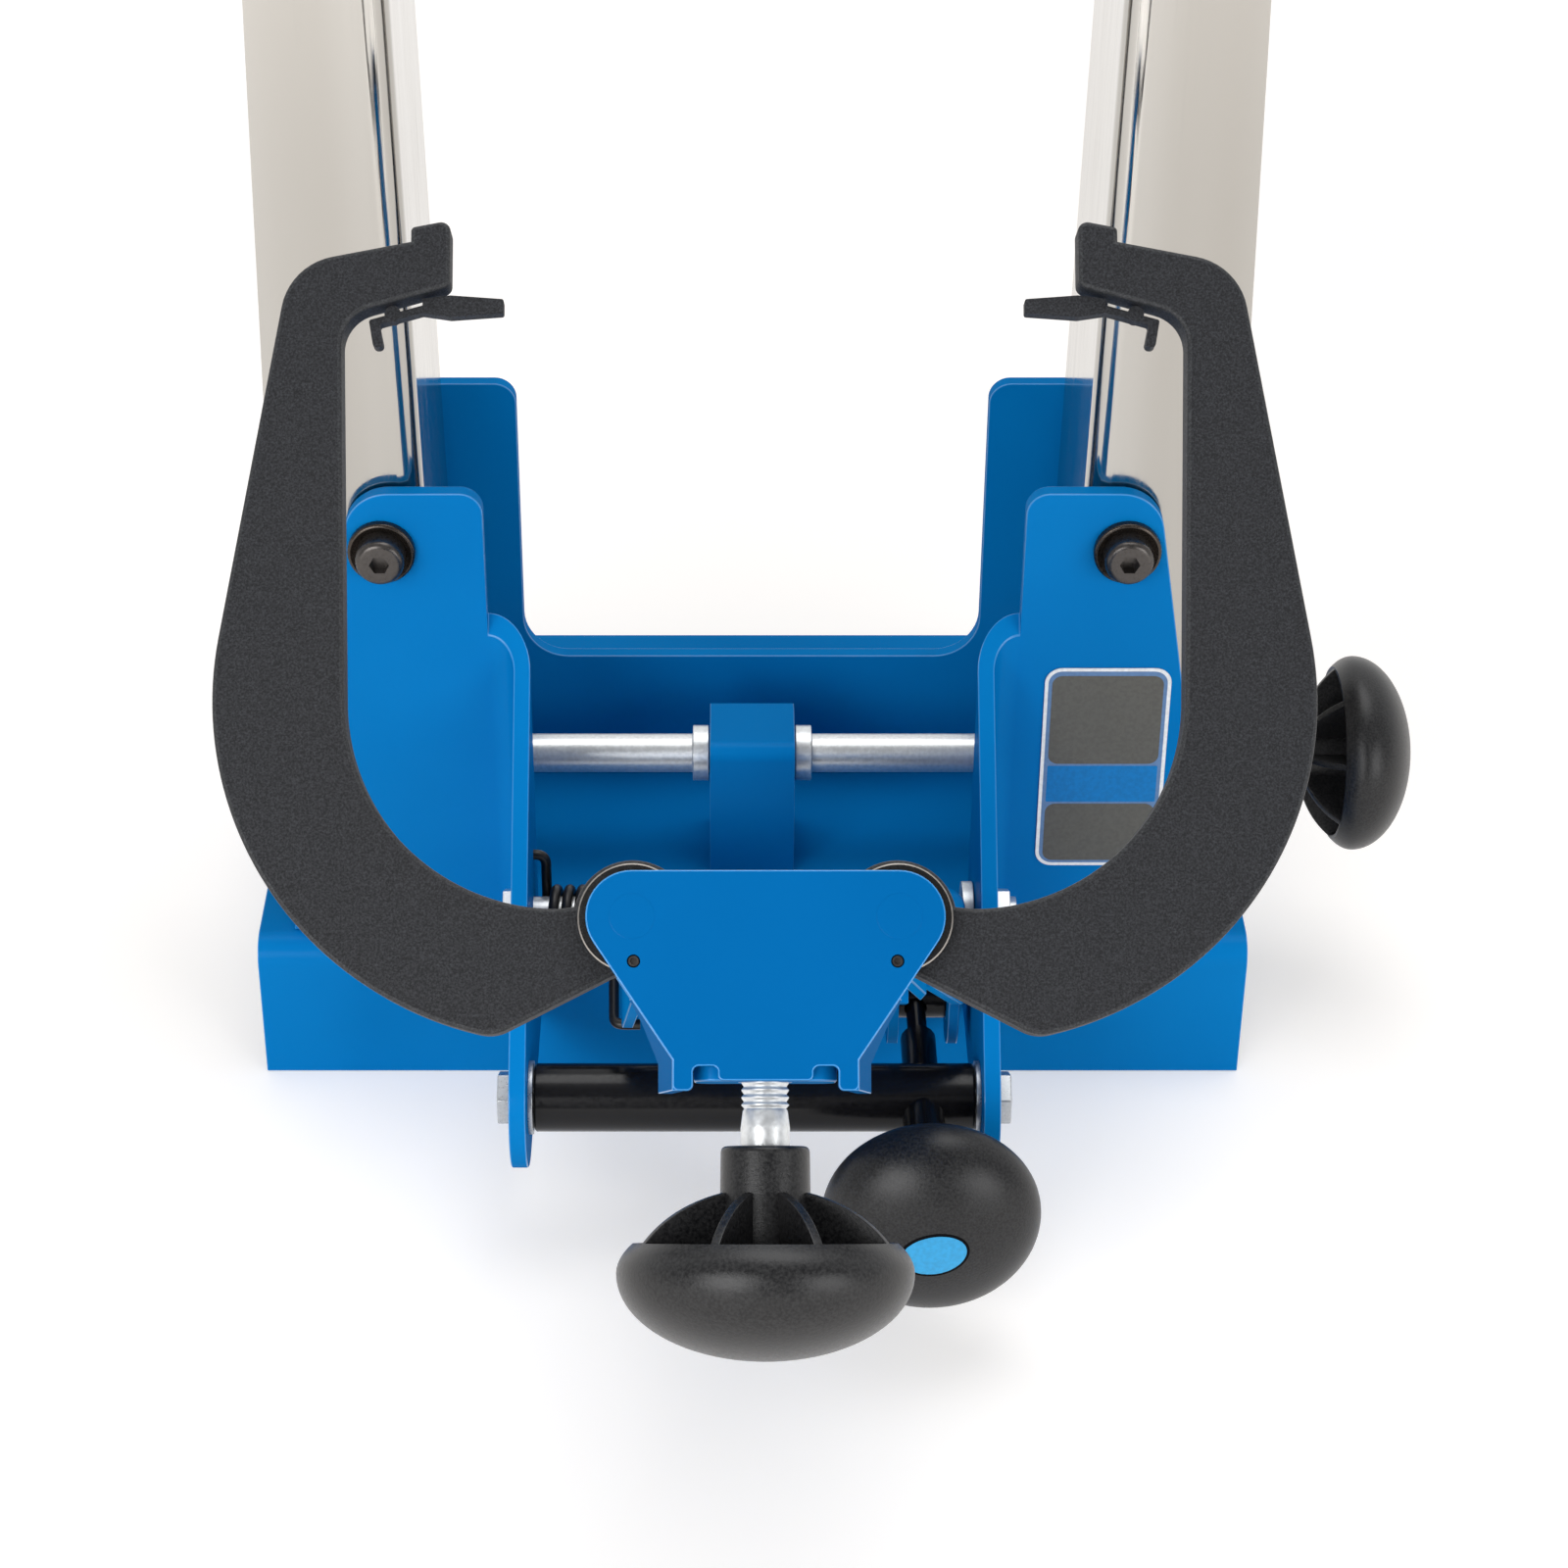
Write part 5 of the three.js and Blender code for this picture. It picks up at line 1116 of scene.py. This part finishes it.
def make_arms():
    fitted("caliper_arm_left", moved(mirrored(arm()), HEAD), CHARCOAL, "arm_coat", limit=40)
    fitted("caliper_arm_right", moved(arm(), HEAD), CHARCOAL, "arm_coat", limit=40)


# Label: a bare plate on the right bracket, with a pale rim and a blue band between two dark panels

LABEL_LEFT = 84.4
LABEL_RIGHT = 121.2
LABEL_FOOT = 71.9
LABEL_TOP = 140.9
LABEL_RIM = 1.1
# each band's upper and lower edge below the label's top, its corner radius and its finish
LABEL_BANDS = ((2.6, 32.8, 3, LABEL_GREY), (33.5, 46.1, 0.4, LABEL_BLUE), (46.8, 67, 3, LABEL_GREY))


def label_panel(margin, foot, top, radius, front, rear):
    """A thin panel between two depths, measured forward from the bracket's face."""
    outline = rectangle(LABEL_LEFT + margin, LABEL_RIGHT - margin, foot, top, radius)
    return slab_y(outline, BRACKET_FRONT - front, BRACKET_FRONT - rear)


def make_label():
    rim = label_panel(0, LABEL_FOOT, LABEL_TOP, radius=5, front=0.5, rear=0.02)
    piece("label_rim", eased(rim, 0.15), SILVER, "frame", "bright_plate")
    ground = label_panel(LABEL_RIM, LABEL_FOOT + LABEL_RIM, LABEL_TOP - LABEL_RIM,
                         radius=4, front=0.53, rear=0.3)
    piece("label_ground", ground, LABEL_FIELD, "frame", "bright_plate")
    for i, (start, end, radius, material) in enumerate(LABEL_BANDS):
        band = label_panel(2 * LABEL_RIM, LABEL_TOP - end, LABEL_TOP - start, radius, front=0.58, rear=0.4)
        piece("label_band_%d" % i, band, material, "frame", "bright_plate")


# Sticker: a plain oval on the height knob's dome, dark rim under a blue face

STICKER_TURN = math.radians(15)
STICKER_THICKNESS = 0.12


def oval(half_wide, half_high, lift):
    """A thin oval that follows the dome, lifted off it."""
    centre = Vector(HEIGHT_KNOB)
    bm = lathe([(k / 8, 0) for k in range(9)], 48)
    for vert in bm.verts:
        across, up = half_wide * vert.co.x / MM, half_high * vert.co.y / MM
        x = across * math.cos(STICKER_TURN) - up * math.sin(STICKER_TURN)
        z = across * math.sin(STICKER_TURN) + up * math.cos(STICKER_TURN)
        dome = KNOB_DOME * math.sqrt(1 - (math.hypot(x, z) / KNOB_RADIUS) ** 2) + lift
        vert.co = (centre + Vector((x, -dome, z))) * MM
    solid = bmesh.ops.extrude_face_region(bm, geom=bm.faces[:])
    for item in solid["geom"]:
        if isinstance(item, bmesh.types.BMVert):
            item.co.y += STICKER_THICKNESS * MM
    return bm


def make_sticker():
    piece("sticker_rim", oval(9.7, 7.2, lift=0.1), STICKER_RIM, "height_set", "black_plastic")
    piece("sticker_face", oval(8.9, 6.4, lift=0.16), STICKER_BLUE, "height_set", "blue_paint")


make_sheet_metal()
make_housing()
make_spring()
make_turned_parts()
make_small_parts()
make_caliper_washers()
make_pivot_bolts()
make_knobs()
make_arms()
make_label()
make_sticker()


# Studio: pale floor, soft lamps, camera at the photograph's angle; its places are in metres

FLOOR_HALF = 6
FLOOR_GAP = 0.0002
LAMP_TARGET = (0, -0.1, 0.2)
CAMERA_PLACE = (-0.0076, -0.8593, 0.6625)
CAMERA_DIRECTION = (0, 0.839, -0.545)


def either(tree, first, second):
    node = tree.nodes.new("ShaderNodeMath")
    node.operation = "MAXIMUM"
    tree.links.new(first, node.inputs[0])
    tree.links.new(second, node.inputs[1])
    return node.outputs[0]


def make_floor():
    """A pale floor that fades to white away from the stand where it is looked at."""
    bm = bmesh.new()
    bmesh.ops.create_grid(bm, x_segments=2, y_segments=2, size=FLOOR_HALF)
    floor = placed("floor", from_bmesh("floor", bm))
    floor.location.z = CAD_BOX[0][2] - FLOOR_GAP
    material, tree, shader = start_material("floor")
    shader.inputs["Base Color"].default_value = (0.81, 0.78, 0.75, 1)
    shader.inputs["Roughness"].default_value = 0.75
    path = tree.nodes.new("ShaderNodeLightPath")
    coords = tree.nodes.new("ShaderNodeTexCoord")
    away = tree.nodes.new("ShaderNodeVectorMath")
    away.operation = "LENGTH"
    tree.links.new(coords.outputs["Object"], away.inputs[0])
    strength = tree.nodes.new("ShaderNodeMath")
    strength.operation = "MULTIPLY"
    tree.links.new(either(tree, path.outputs["Is Camera Ray"], path.outputs["Is Glossy Ray"]),
                   strength.inputs[0])
    tree.links.new(ramp(tree, away.outputs["Value"], 0.36, 0.9, start=0.7, end=2.2), strength.inputs[1])
    glow = tree.nodes.new("ShaderNodeEmission")
    glow.inputs["Color"].default_value = (1, 1, 1, 1)
    tree.links.new(strength.outputs[0], glow.inputs["Strength"])
    add = tree.nodes.new("ShaderNodeAddShader")
    tree.links.new(shader.outputs[0], add.inputs[0])
    tree.links.new(glow.outputs[0], add.inputs[1])
    tree.links.new(add.outputs[0], tree.nodes["Material Output"].inputs["Surface"])
    floor.data.materials.append(material)


def make_world():
    """White where it is looked at; what it reflects is white behind and dim on the user's side."""
    world = bpy.data.worlds.new("studio")
    bpy.context.scene.world = world
    world.use_nodes = True
    tree = world.node_tree
    background = tree.nodes["Background"]
    background.inputs["Color"].default_value = (1, 1, 1, 1)
    path = tree.nodes.new("ShaderNodeLightPath")
    coords = tree.nodes.new("ShaderNodeTexCoord")
    split = tree.nodes.new("ShaderNodeSeparateXYZ")
    tree.links.new(coords.outputs["Generated"], split.inputs["Vector"])
    bounced = tree.nodes.new("ShaderNodeMix")
    tree.links.new(path.outputs["Is Glossy Ray"], bounced.inputs["Factor"])
    bounced.inputs[NUMBER_A].default_value = 0.45
    tree.links.new(ramp(tree, split.outputs["Y"], 0.28, 1.0, start=-0.5, end=0.3), bounced.inputs[NUMBER_B])
    level = tree.nodes.new("ShaderNodeMix")
    tree.links.new(either(tree, path.outputs["Is Camera Ray"], path.outputs["Is Transmission Ray"]),
                   level.inputs["Factor"])
    tree.links.new(bounced.outputs["Result"], level.inputs[NUMBER_A])
    level.inputs[NUMBER_B].default_value = 1.0
    tree.links.new(level.outputs["Result"], background.inputs["Strength"])


def softbox(name, place, size, power):
    light = bpy.data.lights.new(name, "AREA")
    light.shape = "RECTANGLE"
    light.size, light.size_y = size
    light.energy = power
    obj = placed(name, light)
    obj.location = place
    obj.rotation_euler = (Vector(LAMP_TARGET) - Vector(place)).to_track_quat("-Z", "Y").to_euler()


def make_lamps():
    softbox("key", place=(-1.0, -1.95, 0.95), size=(1.4, 1.2), power=30)
    softbox("fill", place=(1.5, -1.7, 0.7), size=(1.2, 1.0), power=16)
    softbox("top", place=(0.2, 0.3, 2.2), size=(1.6, 1.2), power=17)


def make_camera():
    camera = bpy.data.cameras.new("camera")
    camera.sensor_width = 36
    camera.lens = 80.1
    camera.shift_x = 0.036
    camera.clip_end = 50
    obj = placed("camera", camera)
    obj.location = CAMERA_PLACE
    obj.rotation_euler = Vector(CAMERA_DIRECTION).to_track_quat("-Z", "Y").to_euler()
    bpy.context.scene.camera = obj


make_floor()
make_world()
make_lamps()
make_camera()
bpy.context.scene.view_settings.view_transform = "Standard"
